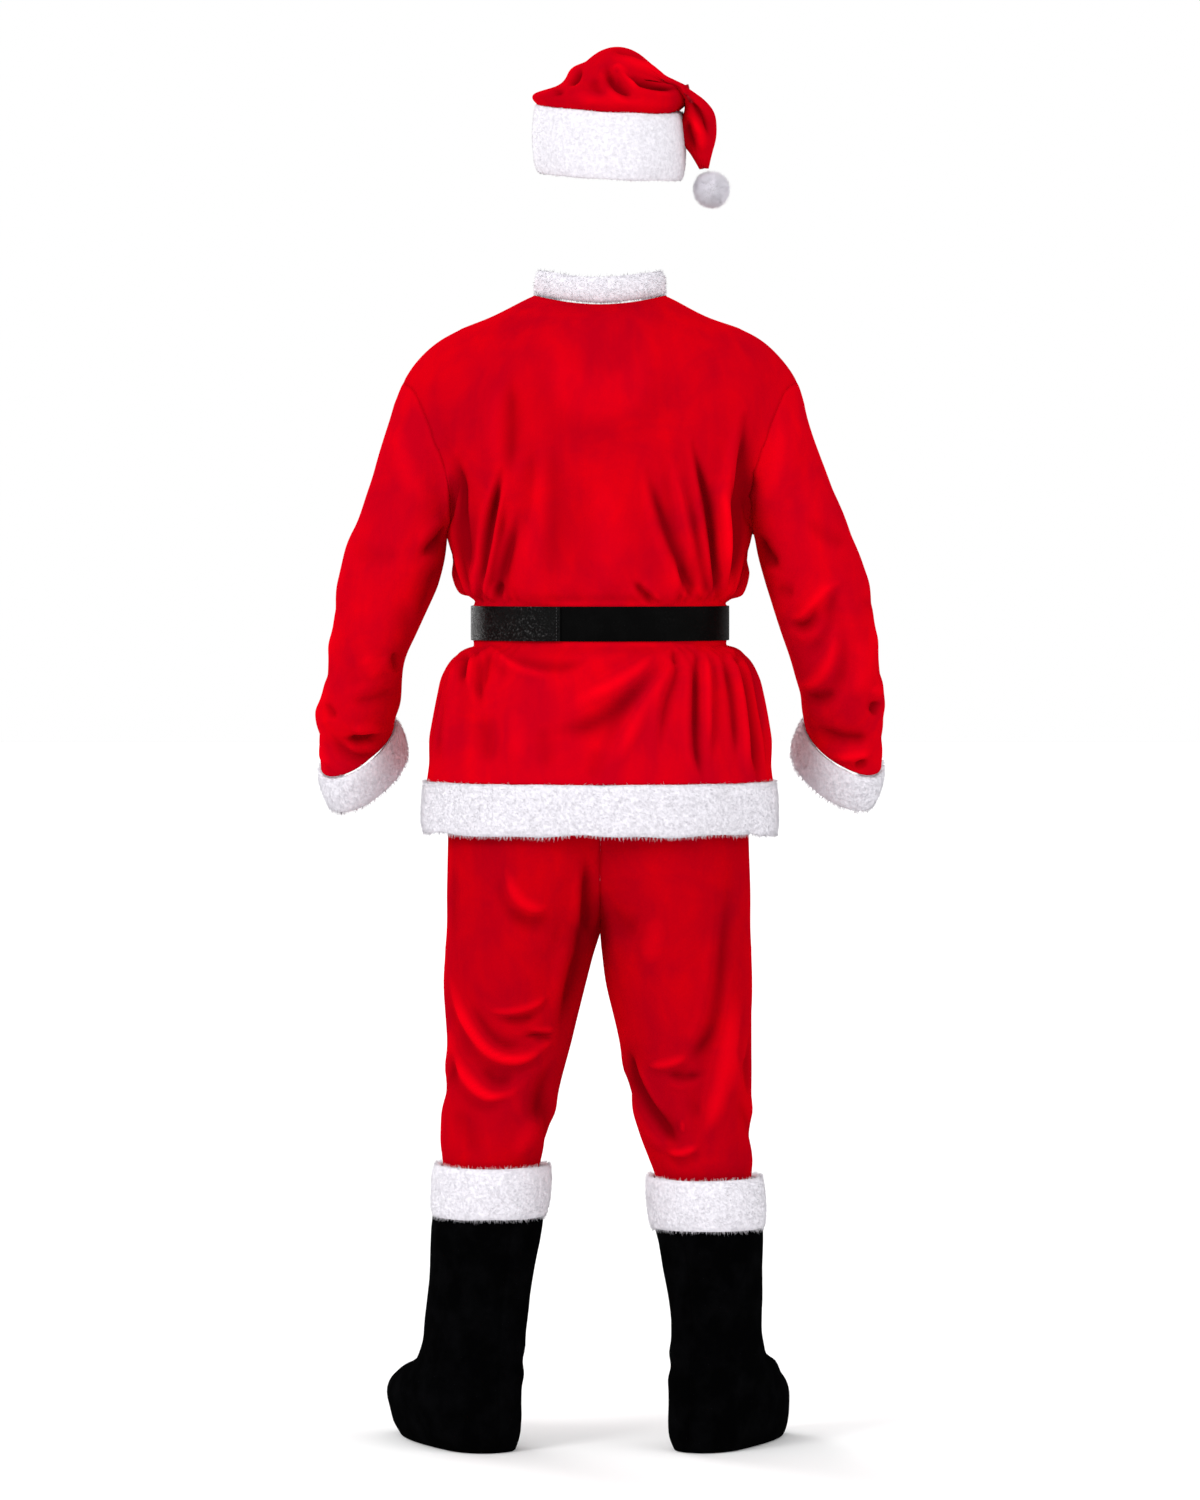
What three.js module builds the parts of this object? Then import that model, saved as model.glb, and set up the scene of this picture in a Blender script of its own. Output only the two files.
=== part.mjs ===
// Santa suit as worn: hat, belted jacket, trousers and boot covers, all hollow cloth.
// Millimetres, +Z up. The wearer faces -Y and the wearer's left is +X.
// Tables give heights above the soles of the boot covers; the origin is at the base of the neck.
import * as THREE from 'three';

// ---- driving dimensions -------------------------------------------------------------------
const neckHeight = 1475;      // base of the neck above the soles
const cloth = 2;              // velour wall
const bootCloth = 2.4;        // plush wall of the boot covers
const seamInset = 0.15;       // each panel stops this far short of its seam line
const underarmGap = 1.0;      // between sleeve and body at the bottom of the armhole
const neckHalfWidth = 85;
const neckBackDepth = 58;
const neckFrontDepth = 70;
const neckBackDrop = 12;
const neckFrontDrop = 75;
const neckTrimHeight = 34;
const hemTop = 856;           // seam between velour and plush
const hemBottom = 790;
const furWall = 8;
const beltBottom = 1036;
const beltTop = 1080;
const beltThickness = 2;
const frontTrimHalfWidth = 36;
const waistbandHeight = 35;
const pompomRadius = 23;
const toeOut = 27;            // degrees each foot is turned out

const halfColumns = 18;       // across the back, and again across the front
const neckShare = 1 / 3;      // part of the half-width that the neck takes at the shoulder line

// ---- tables -------------------------------------------------------------------------------
// Jacket below the armpit: a closed section at each height.
const JACKET = [
  { height: hemTop, half: 221.5, back: 163, front: 168 },
  { height: 885, half: 217, back: 160, front: 166 },
  { height: 913, half: 214, back: 157, front: 164 },
  { height: 959, half: 206, back: 151, front: 159 },
  { height: 1000, half: 196, back: 143, front: 153 },
  { height: 1021, half: 184, back: 132, front: 144 },
  { height: 1034, half: 163, back: 118, front: 132 },
  { height: 1058, half: 163, back: 118, front: 132 },
  { height: 1082, half: 163, back: 118, front: 132 },
  { height: 1094, half: 173, back: 125, front: 139 },
  { height: 1114, half: 182, back: 129, front: 142 },
  { height: 1142, half: 188, back: 129, front: 140 },
];
// From the armpit to the chest, where the armhole opens the sides.
const CHEST = [
  { edge: 1170, centre: 1170, half: 195, armhole: 0, back: 127, front: 137, even: 0 },
  { edge: 1190, centre: 1205, half: 190.5, armhole: 30, back: 131, front: 136, even: 0.15 },
  { edge: 1219, centre: 1242, half: 189, armhole: 52, back: 134, front: 134, even: 0.3 },
  { edge: 1250, centre: 1282, half: 194, armhole: 64, back: 135, front: 130, even: 0.45 },
  { edge: 1283, centre: 1325, half: 205, armhole: 66, back: 132, front: 123, even: 0.6 },
];
const yokeSteps = 4;          // rows from the chest over the shoulder to its seam
const SHOULDER = [
  { x: 85, height: 1475 }, { x: 113, height: 1461 }, { x: 142, height: 1447 },
  { x: 170, height: 1437 }, { x: 198, height: 1424 }, { x: 227, height: 1402 },
  { x: 255, height: 1366 },
];
// Soft folds of the jacket: angle in degrees from the wearer's left round the back, at the low
// and high end; depth outward is positive.
const JACKET_FOLDS = [
  { lowAngle: 14, highAngle: 28, low: 1080, high: 1250, width: 11, depth: 5 },
  { lowAngle: 35, highAngle: 50, low: 1085, high: 1230, width: 10, depth: -4 },
  { lowAngle: 48, highAngle: 62, low: 1085, high: 1200, width: 10, depth: 4 },
  { lowAngle: 133, highAngle: 138, low: 1085, high: 1240, width: 10, depth: -4 },
  { lowAngle: 148, highAngle: 152, low: 1080, high: 1260, width: 11, depth: 5 },
  { lowAngle: 12, highAngle: 20, low: 850, high: 1028, width: 11, depth: 4 },
  { lowAngle: 33, highAngle: 38, low: 900, high: 1028, width: 10, depth: -4 },
  { lowAngle: 150, highAngle: 146, low: 850, high: 1028, width: 11, depth: -6 },
  { lowAngle: 164, highAngle: 158, low: 850, high: 1028, width: 11, depth: 5 },
  { lowAngle: 205, highAngle: 210, low: 860, high: 1028, width: 12, depth: -4 },
  { lowAngle: 222, highAngle: 218, low: 1085, high: 1240, width: 12, depth: 5 },
  { lowAngle: 318, highAngle: 314, low: 1085, high: 1230, width: 12, depth: 5 },
  { lowAngle: 335, highAngle: 330, low: 860, high: 1028, width: 12, depth: -4 },
];
// Sleeves: the outer and inner edge of each section, its middle in depth, its half depth and
// how much lower its back side hangs.
const SLEEVE_LEFT = [
  { outX: 266, outH: 1321, inX: 197, inH: 1148, midY: 0, depth: 66, drop: 0 },
  { outX: 281, outH: 1278, inX: 202, inH: 1124, midY: -1, depth: 66, drop: 0 },
  { outX: 298, outH: 1219, inX: 207, inH: 1106, midY: -2, depth: 65, drop: 2 },
  { outX: 311, outH: 1181, inX: 214, inH: 1090, midY: -3, depth: 64, drop: 4 },
  { outX: 325, outH: 1152, inX: 224, inH: 1068, midY: -5, depth: 62, drop: 6 },
  { outX: 338, outH: 1100, inX: 236, inH: 1040, midY: -9, depth: 60, drop: 9 },
  { outX: 343, outH: 1053, inX: 247, inH: 1016, midY: -17, depth: 57, drop: 13 },
  { outX: 348, outH: 1016, inX: 253, inH: 994, midY: -31, depth: 54, drop: 17 },
  { outX: 356, outH: 977, inX: 255, inH: 974, midY: -48, depth: 54, drop: 21 },
  { outX: 366, outH: 938, inX: 256, inH: 955, midY: -66, depth: 54, drop: 24 },
  { outX: 362, outH: 910, inX: 262, inH: 940, midY: -81, depth: 50, drop: 27 },
  { outX: 361, outH: 872, inX: 266, inH: 925, midY: -97, depth: 50, drop: 29 },
];
const SLEEVE_RIGHT = [
  { outX: 262, outH: 1330, inX: 199, inH: 1150, midY: 0, depth: 66, drop: 0 },
  { outX: 275, outH: 1290, inX: 205, inH: 1129, midY: -1, depth: 66, drop: 0 },
  { outX: 297, outH: 1233, inX: 211, inH: 1110, midY: -2, depth: 65, drop: 2 },
  { outX: 313, outH: 1196, inX: 218, inH: 1090, midY: -3, depth: 64, drop: 4 },
  { outX: 326, outH: 1160, inX: 225, inH: 1067, midY: -5, depth: 62, drop: 6 },
  { outX: 343, outH: 1112, inX: 234, inH: 1038, midY: -9, depth: 60, drop: 9 },
  { outX: 352, outH: 1062, inX: 243, inH: 1012, midY: -17, depth: 57, drop: 13 },
  { outX: 356, outH: 1014, inX: 251, inH: 988, midY: -31, depth: 54, drop: 17 },
  { outX: 366, outH: 975, inX: 258, inH: 968, midY: -48, depth: 54, drop: 21 },
  { outX: 364, outH: 944, inX: 260, inH: 953, midY: -64, depth: 53, drop: 24 },
  { outX: 366, outH: 912, inX: 262, inH: 939, midY: -80, depth: 51, drop: 27 },
  { outX: 364, outH: 874, inX: 265, inH: 925, midY: -97, depth: 50, drop: 29 },
];
// Plush cuffs go on from the last sleeve section: distance along the arm and size against it.
const CUFF = [
  { along: 0.5, grow: 1.07 }, { along: 9, grow: 1.15 }, { along: 27, grow: 1.17 },
  { along: 44, grow: 1.16 }, { along: 52, grow: 1.1 },
];
const cuffLean = { x: -0.25, y: -0.42, z: -0.87 };
// Plush hem: height and how far it stands out of the velour above it.
const HEM = [
  { height: hemTop - 0.5, out: 2 }, { height: 846, out: 6 }, { height: 822, out: 7.5 },
  { height: 800, out: 8 }, { height: hemBottom, out: 4 },
];
// Trousers: each leg is an oval about its own middle, cut off where it meets the other.
const TROUSERS_LEFT = [
  { height: 1049, middle: 0, half: 156, back: 112, front: 121, shift: 0 },
  { height: 1015, middle: 0, half: 160, back: 116, front: 122, shift: 0 },
  { height: 970, middle: 4, half: 167, back: 126, front: 122, shift: 0 },
  { height: 920, middle: 14, half: 169, back: 135, front: 121, shift: 0 },
  { height: 870, middle: 28, half: 162, back: 140, front: 119, shift: 0 },
  { height: 815, middle: 47, half: 147, back: 139, front: 117, shift: 0 },
  { height: 760, middle: 66, half: 129, back: 132, front: 114, shift: 0 },
  { height: 710, middle: 84, half: 111, back: 121, front: 111, shift: 0 },
  { height: 662, middle: 98, half: 97, back: 108, front: 107, shift: -1 },
  { height: 604, middle: 109, half: 91, back: 97, front: 99, shift: -3 },
  { height: 534, middle: 115, half: 82, back: 86, front: 88, shift: -6 },
  { height: 467, middle: 125, half: 74, back: 78, front: 80, shift: -8 },
  { height: 408, middle: 135, half: 70, back: 72, front: 72, shift: -6 },
  { height: 378, middle: 138, half: 65, back: 66, front: 66, shift: -4 },
  { height: 350, middle: 139, half: 60, back: 61, front: 61, shift: -3 },
  { height: 312, middle: 140, half: 58, back: 59, front: 59, shift: -2 },
];
const TROUSERS_RIGHT = [
  { height: 1049, middle: 0, half: 156, back: 112, front: 121, shift: 0 },
  { height: 1015, middle: 0, half: 160, back: 116, front: 122, shift: 0 },
  { height: 970, middle: 4, half: 167, back: 126, front: 122, shift: 0 },
  { height: 920, middle: 14, half: 170, back: 135, front: 121, shift: 0 },
  { height: 870, middle: 28, half: 161, back: 140, front: 119, shift: 0 },
  { height: 815, middle: 47, half: 143, back: 139, front: 117, shift: 0 },
  { height: 760, middle: 66, half: 125, back: 132, front: 114, shift: 0 },
  { height: 710, middle: 82, half: 109, back: 121, front: 111, shift: 0 },
  { height: 662, middle: 96, half: 95, back: 108, front: 107, shift: -1 },
  { height: 604, middle: 101, half: 94, back: 98, front: 100, shift: -3 },
  { height: 534, middle: 108, half: 87, back: 89, front: 90, shift: -6 },
  { height: 467, middle: 115, half: 80, back: 81, front: 82, shift: -8 },
  { height: 408, middle: 121, half: 73, back: 74, front: 74, shift: -6 },
  { height: 365, middle: 130, half: 65, back: 66, front: 66, shift: -4 },
  { height: 336, middle: 133, half: 60, back: 61, front: 61, shift: -3 },
  { height: 298, middle: 133, half: 58, back: 59, front: 59, shift: -2 },
];
// Soft folds of the trousers, for each side: angle round the leg from its outer side.
const TROUSER_FOLDS = [
  { side: 1, face: 'back', low: 480, high: 560, lowAngle: 75, highAngle: 20, width: 22, depth: -4 },
  { side: 1, face: 'back', low: 500, high: 620, lowAngle: 110, highAngle: 55, width: 22, depth: 4 },
  { side: -1, face: 'back', low: 400, high: 560, lowAngle: 100, highAngle: 40, width: 22, depth: 4 },
  { side: -1, face: 'back', low: 430, high: 600, lowAngle: 20, highAngle: 25, width: 18, depth: -4 },
  { side: 1, face: 'front', low: 440, high: 560, lowAngle: 60, highAngle: 100, width: 22, depth: 4 },
  { side: -1, face: 'front', low: 430, high: 540, lowAngle: 100, highAngle: 60, width: 22, depth: 4 },
];
const quarterColumns = 8;
// Boot covers: ovals level with the floor, long in the direction of the foot.
const BOOT_LEFT = [
  { height: 0, x: 159, y: 0, heel: 62, toe: 196, half: 46 },
  { height: 16, x: 159, y: 0, heel: 67, toe: 208, half: 52 },
  { height: 40, x: 158, y: 0, heel: 68, toe: 210, half: 54 },
  { height: 62, x: 158, y: 0, heel: 67, toe: 198, half: 54 },
  { height: 82, x: 158, y: 0, heel: 66, toe: 165, half: 55 },
  { height: 100, x: 158, y: 0, heel: 66, toe: 127, half: 56 },
  { height: 124, x: 158, y: 0, heel: 66, toe: 93, half: 58 },
  { height: 165, x: 157, y: 0, heel: 68, toe: 72, half: 61 },
  { height: 234, x: 150, y: -2, heel: 70, toe: 69, half: 64.5 },
  { height: 297, x: 142, y: -3, heel: 71, toe: 71, half: 68 },
];
const BOOT_RIGHT = [
  { height: 0, x: 143, y: 0, heel: 60, toe: 186, half: 43 },
  { height: 16, x: 143, y: 0, heel: 65, toe: 198, half: 49 },
  { height: 42, x: 143, y: 0, heel: 66, toe: 200, half: 51 },
  { height: 66, x: 143, y: 0, heel: 65, toe: 190, half: 51 },
  { height: 88, x: 143, y: 0, heel: 64, toe: 160, half: 51 },
  { height: 108, x: 144, y: 0, heel: 64, toe: 122, half: 51 },
  { height: 130, x: 145, y: 0, heel: 64, toe: 88, half: 52 },
  { height: 165, x: 147, y: 0, heel: 66, toe: 69, half: 53 },
  { height: 216, x: 145, y: -2, heel: 69, toe: 68, half: 58 },
  { height: 282, x: 138, y: -3, heel: 71, toe: 71, half: 66 },
];
const bootColumns = 11;       // down each side panel, from the back seam to the front seam
// Plush cuffs of the boot covers: height above the top of the shaft and half width.
const BOOT_CUFF = [
  { above: 0.4, half: 72 }, { above: 10, half: 76 }, { above: 38, half: 77.5 },
  { above: 60, half: 77 }, { above: 68, half: 73 },
];
const bootCuffWall = 7;
// Hat: the outline's two ends at each section of the cone, its half depth and middle in depth.
const HAT = [
  { aX: 86, aH: 1731, bX: -112, bH: 1722, depth: 106, midY: 0 },
  { aX: 79, aH: 1738, bX: -114, bH: 1734, depth: 101, midY: 0 },
  { aX: 55, aH: 1746, bX: -113, bH: 1742, depth: 88, midY: 3 },
  { aX: 40, aH: 1764, bX: -111, bH: 1740, depth: 76, midY: 6 },
  { aX: 13, aH: 1786, bX: -110, bH: 1735, depth: 66, midY: 9 },
  { aX: -20, aH: 1797, bX: -110, bH: 1729, depth: 58, midY: 11 },
  { aX: -62, aH: 1785, bX: -110, bH: 1722, depth: 51, midY: 12 },
  { aX: -107, aH: 1746, bX: -113, bH: 1714, depth: 44, midY: 13 },
  { aX: -138, aH: 1725, bX: -115, bH: 1702, depth: 35, midY: 14 },
  { aX: -148, aH: 1704, bX: -115, bH: 1689, depth: 29, midY: 15 },
  { aX: -148, aH: 1676, bX: -114, bH: 1674, depth: 23, midY: 16 },
  { aX: -142, aH: 1652, bX: -119, bH: 1651, depth: 15, midY: 17 },
  { aX: -138, aH: 1634, bX: -128, bH: 1633, depth: 7, midY: 18 },
];
const hatColumns = 20;
const bandMiddle = { x: -12, height: 1672 };
const bandHalf = { x: 92, y: 102, height: 44 };
const bandTilt = { side: 3, back: 6 };
const BAND = [
  { up: -1, out: 0 }, { up: -0.72, out: 5 }, { up: 0, out: 6.5 }, { up: 0.72, out: 6 },
  { up: 0.985, out: 1.5 },
];

// ---- small helpers ------------------------------------------------------------------------
const at = (x, y, height) => new THREE.Vector3(x, y, height - neckHeight);
const mix = (a, b, t) => a + (b - a) * t;
const rad = THREE.MathUtils.degToRad;
const bell = (t) => (Math.abs(t) >= 1 ? 0 : Math.cos((t * Math.PI) / 2) ** 2);

function between(rows, key, value, field) {
  for (let i = 1; i < rows.length; i += 1) {
    if (value <= rows[i][key] || i === rows.length - 1) {
      const a = rows[i - 1];
      const b = rows[i];
      const t = THREE.MathUtils.clamp((value - a[key]) / (b[key] - a[key]), 0, 1);
      return mix(a[field], b[field], t);
    }
  }
  return rows[0][field];
}

// ---- walls --------------------------------------------------------------------------------
// A sheet is a grid of points on its outer face. `ring` closes each row on itself, and `turn`
// is 1 where (next column) x (next row) points out of the cloth.
const pointKey = (p) => `${Math.round(p.x * 50)},${Math.round(p.y * 50)},${Math.round(p.z * 50)}`;

function cells(sheet) {
  const { grid, ring } = sheet;
  const columns = grid[0].length;
  const list = [];
  for (let r = 0; r + 1 < grid.length; r += 1) {
    for (let c = 0; c < (ring ? columns : columns - 1); c += 1) {
      list.push([r, c, (c + 1) % columns]);
    }
  }
  return list;
}

// Panels that are sewn together share the normals along their seams.
function sharedNormals(sheets) {
  const sums = new Map();
  for (const sheet of sheets) {
    for (const [r, c, d] of cells(sheet)) {
      const [p, q, s, t] = [
        sheet.grid[r][c], sheet.grid[r][d], sheet.grid[r + 1][d], sheet.grid[r + 1][c]];
      const n = new THREE.Vector3().crossVectors(s.clone().sub(p), t.clone().sub(q));
      n.multiplyScalar(sheet.turn);
      for (const corner of [p, q, s, t]) {
        const key = pointKey(corner);
        if (!sums.has(key)) sums.set(key, new THREE.Vector3());
        sums.get(key).add(n);
      }
    }
  }
  for (const n of sums.values()) n.normalize();
  return (p) => sums.get(pointKey(p));
}

function toward(p, q, distance) {
  const d = q.clone().sub(p);
  return d.lengthSq() < 1e-9 ? d : d.setLength(distance);
}

function wall(sheet, normalAt, thickness) {
  const { grid, ring, turn } = sheet;
  const rows = grid.length;
  const columns = grid[0].length;
  const positions = [];
  const face = (depth) => grid.map((row, r) => row.map((p, c) => {
    const move = normalAt(p).clone().multiplyScalar(-depth);
    if (r === 0) move.add(toward(p, grid[1][c], seamInset));
    if (r === rows - 1) move.add(toward(p, grid[r - 1][c], seamInset));
    if (!ring && c === 0) move.add(toward(p, row[1], seamInset));
    if (!ring && c === columns - 1) move.add(toward(p, row[c - 1], seamInset));
    positions.push(p.x + move.x, p.y + move.y, p.z + move.z);
    return positions.length / 3 - 1;
  }));
  const outer = face(0);
  const inner = face(thickness);
  const index = [];
  const quad = (a, b, c, d) => {
    if (turn > 0) index.push(a, b, c, a, c, d);
    else index.push(a, c, b, a, d, c);
  };
  for (const [r, c, d] of cells(sheet)) {
    quad(outer[r][c], outer[r][d], outer[r + 1][d], outer[r + 1][c]);
    quad(inner[r][c], inner[r + 1][c], inner[r + 1][d], inner[r][d]);
  }
  for (let c = 0; c < (ring ? columns : columns - 1); c += 1) {
    const d = (c + 1) % columns;
    quad(outer[0][c], inner[0][c], inner[0][d], outer[0][d]);
    quad(outer[rows - 1][c], outer[rows - 1][d], inner[rows - 1][d], inner[rows - 1][c]);
  }
  if (!ring) {
    const last = columns - 1;
    for (let r = 0; r + 1 < rows; r += 1) {
      quad(outer[r][0], outer[r + 1][0], inner[r + 1][0], inner[r][0]);
      quad(outer[r][last], inner[r][last], inner[r + 1][last], outer[r + 1][last]);
    }
  }
  const geometry = new THREE.BufferGeometry();
  geometry.setAttribute('position', new THREE.Float32BufferAttribute(positions, 3));
  geometry.setIndex(index);
  geometry.computeVertexNormals();
  return geometry;
}

// ---- jacket body --------------------------------------------------------------------------
// `s` runs from 1 at the wearer's left side to -1 at the right; `face` is 1 behind, -1 in front.
function foldOut(p, folds, height) {
  const angle = (THREE.MathUtils.radToDeg(Math.atan2(p.y, p.x)) + 360) % 360;
  let out = 0;
  for (const f of folds) {
    const t = (height - f.low) / (f.high - f.low);
    if (t > 0 && t < 1) {
      let off = Math.abs(angle - mix(f.lowAngle, f.highAngle, t));
      off = Math.min(off, 360 - off);
      out += f.depth * bell(off / f.width) * Math.min(1, 4 * Math.min(t, 1 - t));
    }
  }
  return out;
}

function pushed(p, folds, height) {
  const out = foldOut(p, folds, height);
  const radius = Math.hypot(p.x, p.y);
  return new THREE.Vector3(p.x * (1 + out / radius), p.y * (1 + out / radius), p.z);
}

function ringPoint(row, s, face, grow = 0) {
  const across = Math.sin((s * Math.PI) / 2);
  const deep = Math.max(0, Math.cos((s * Math.PI) / 2)) ** 0.9;
  const depth = (face > 0 ? row.back : row.front) + grow;
  return at((row.half + grow) * across, face * depth * deep, row.height);
}

function chestPoint(row, s, face) {
  const even = mix(Math.sin((s * Math.PI) / 2), s, row.even);
  const arch = Math.max(0, Math.cos((s * Math.PI) / 2));
  const depth = mix(row.armhole, face > 0 ? row.back : row.front, arch ** 0.9);
  return at(row.half * even, face * depth, mix(row.edge, row.centre, arch));
}

function shoulderPoint(s, face) {
  const side = Math.abs(s);
  if (side < neckShare - 1e-6) {
    const round = (s / neckShare) * (Math.PI / 2);
    const depth = face > 0 ? neckBackDepth : neckFrontDepth;
    const drop = face > 0 ? neckBackDrop : neckFrontDrop;
    const height = SHOULDER[0].height - drop * Math.cos(round) ** 2.5;
    return at(neckHalfWidth * Math.sin(round), face * depth * Math.cos(round), height);
  }
  const x = mix(neckHalfWidth, SHOULDER.at(-1).x, (side - neckShare) / (1 - neckShare));
  return at(Math.sign(s) * x, 0, between(SHOULDER, 'x', x, 'height'));
}

function yokePoint(q, s, face) {
  const low = chestPoint(CHEST.at(-1), s, face);
  const high = shoulderPoint(s, face);
  const over = (q * Math.PI) / 2;
  return new THREE.Vector3(
    mix(low.x, high.x, q),
    mix(high.y, low.y, Math.cos(over)),
    mix(low.z, high.z, Math.sin(over)));
}

function bodyColumn(s, face) {
  const points = JACKET.map((row) => pushed(ringPoint(row, s, face), JACKET_FOLDS, row.height));
  for (const row of CHEST) {
    const p = chestPoint(row, s, face);
    const fade = Math.abs(s) > 0.99 ? [] : JACKET_FOLDS;
    points.push(pushed(p, fade, row.edge));
  }
  for (let i = 1; i <= yokeSteps; i += 1) points.push(yokePoint(i / yokeSteps, s, face));
  return points;
}

// A panel of the body between two values of s, columns running round from the left by the back.
function bodySheet(from, to, face, columns) {
  const list = [];
  for (let i = 0; i <= columns; i += 1) list.push(bodyColumn(mix(from, to, i / columns), face));
  const grid = list[0].map((_, r) => list.map((column) => column[r]));
  return { grid, ring: false, turn: 1 };
}

// ---- sleeves and cuffs --------------------------------------------------------------------
const armholeFirst = JACKET.length;   // row of the armpit in a body column

function armholeLoop(side) {
  const back = bodyColumn(side, 1).slice(armholeFirst);
  const front = bodyColumn(side, -1).slice(armholeFirst);
  return [...back, ...front.slice(1, -1).reverse()];
}

function sleeveRing(row, side, count) {
  const points = [];
  for (let i = 0; i < count; i += 1) {
    const round = (2 * Math.PI * i) / count;
    const reach = (1 - Math.cos(round)) / 2;
    const deep = Math.sin(round);
    points.push(at(
      side * mix(row.inX, row.outX, reach),
      row.midY + row.depth * deep,
      mix(row.inH, row.outH, reach) - row.drop * deep));
  }
  return points;
}

// Under the arm the sleeve doubles back beside the body, so its edge stands clear there.
function sleeveSheet(rows, side) {
  const first = armholeLoop(side);
  const around = (i) => Math.min(i, first.length - i);
  first.forEach((p, i) => { p.x += side * underarmGap * Math.max(0, 1 - 0.3 * around(i)); });
  return {
    grid: [first, ...rows.map((row) => sleeveRing(row, side, first.length))],
    ring: true,
    turn: side,
  };
}

function cuffSheet(sleeve, side) {
  const last = sleeve.grid.at(-1);
  const middle = last.reduce((sum, p) => sum.add(p), new THREE.Vector3())
    .divideScalar(last.length);
  const lean = new THREE.Vector3(side * cuffLean.x, cuffLean.y, cuffLean.z).normalize();
  const grid = CUFF.map((row) => last.map((p) => p.clone().sub(middle)
    .multiplyScalar(row.grow).add(middle).addScaledVector(lean, row.along)));
  return { grid, ring: true, turn: side };
}

// ---- trims of the jacket ------------------------------------------------------------------
// Open at the centre front, round by the right side, the back and the left side.
function roundFromFront(point) {
  const row = [];
  for (let i = halfColumns / 2; i <= halfColumns; i += 1) {
    row.push(point(mix(-1, 1, i / halfColumns), -1));
  }
  for (let i = 1; i <= halfColumns; i += 1) row.push(point(mix(1, -1, i / halfColumns), 1));
  for (let i = 1; i <= halfColumns / 2; i += 1) row.push(point(mix(-1, 1, i / halfColumns), -1));
  return row;
}

function hemSheet() {
  const lowest = JACKET[0];
  const grid = HEM.map((row) => roundFromFront((s, face) => {
    const p = ringPoint(lowest, s, face, row.out);
    return pushed(at(p.x, p.y, row.height), JACKET_FOLDS, 885);
  }));
  return { grid: grid.reverse(), ring: false, turn: 1 };
}

function neckSheet() {
  const steps = halfColumns * neckShare;
  const arc = [];
  for (let i = 0; i <= steps / 2; i += 1) arc.push([mix(0, neckShare, i / (steps / 2)), -1]);
  for (let i = 1; i <= steps; i += 1) arc.push([mix(neckShare, -neckShare, i / steps), 1]);
  for (let i = 1; i <= steps / 2; i += 1) arc.push([mix(-neckShare, 0, i / (steps / 2)), -1]);
  const levels = [[0.6, 0], [0.2 * neckTrimHeight, 3.5], [0.6 * neckTrimHeight, 3],
    [0.9 * neckTrimHeight, 0.5], [neckTrimHeight, -2.5]];
  const grid = levels.map(([up, out]) => arc.map(([s, face]) => {
    const p = shoulderPoint(s, face);
    const radius = Math.hypot(p.x, p.y);
    return new THREE.Vector3(p.x * (1 + out / radius), p.y * (1 + out / radius), p.z + up);
  }));
  return { grid, ring: false, turn: 1 };
}

// The strip follows the fronts and is pressed thin under the belt.
function frontTrim() {
  const share = 2 / halfColumns;
  const columns = [-share, 0, share].map((s) => bodyColumn(s, -1));
  const narrow = (c, r) => {
    const middle = columns[1][r];
    const p = columns[c][r];
    const width = Math.abs(p.x - middle.x) || 1;
    return middle.clone().lerp(p, Math.min(1, frontTrimHalfWidth / width));
  };
  const lift = (r, belted, free) => {
    const height = columns[1][r].z + neckHeight;
    return height > beltBottom - 18 && height < beltTop + 16 ? belted : free;
  };
  const last = columns[1].length - 1;
  const build = (extra) => columns[1].map((_, r) => [0, 1, 2].map((c) => {
    const p = narrow(c, r);
    return p.add(new THREE.Vector3(0, -extra(r), 0));
  }));
  const outer = build((r) => lift(r, 3.2, 8)).slice(0, last);
  const inner = build(() => 0.7).slice(0, last);
  return { outer, inner };
}

function slab({ outer, inner }, turn) {
  const rows = outer.length;
  const columns = outer[0].length;
  const positions = [];
  const put = (grid) => grid.map((row) => row.map((p) => {
    positions.push(p.x, p.y, p.z);
    return positions.length / 3 - 1;
  }));
  const a = put(outer);
  const b = put(inner);
  const index = [];
  const quad = (p, q, r, s) => {
    if (turn > 0) index.push(p, q, r, p, r, s);
    else index.push(p, r, q, p, s, r);
  };
  for (let r = 0; r + 1 < rows; r += 1) {
    for (let c = 0; c + 1 < columns; c += 1) {
      quad(a[r][c], a[r][c + 1], a[r + 1][c + 1], a[r + 1][c]);
      quad(b[r][c], b[r + 1][c], b[r + 1][c + 1], b[r][c + 1]);
    }
    const l = columns - 1;
    quad(a[r][0], a[r + 1][0], b[r + 1][0], b[r][0]);
    quad(a[r][l], b[r][l], b[r + 1][l], a[r + 1][l]);
  }
  for (let c = 0; c + 1 < columns; c += 1) {
    const t = rows - 1;
    quad(a[0][c], b[0][c], b[0][c + 1], a[0][c + 1]);
    quad(a[t][c], a[t][c + 1], b[t][c + 1], b[t][c]);
  }
  const geometry = new THREE.BufferGeometry();
  geometry.setAttribute('position', new THREE.Float32BufferAttribute(positions, 3));
  geometry.setIndex(index);
  geometry.computeVertexNormals();
  return geometry;
}

// ---- belt ---------------------------------------------------------------------------------
// Angles are in degrees from the wearer's left round by the back; 270 is the centre front.
const waist = JACKET.find((row) => row.height === 1058);
const beltPieces = {
  left: { from: -98, to: 72.5, lapFrom: 40 },
  right: { from: 58, to: 290, lapFrom: 255 },
};

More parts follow.
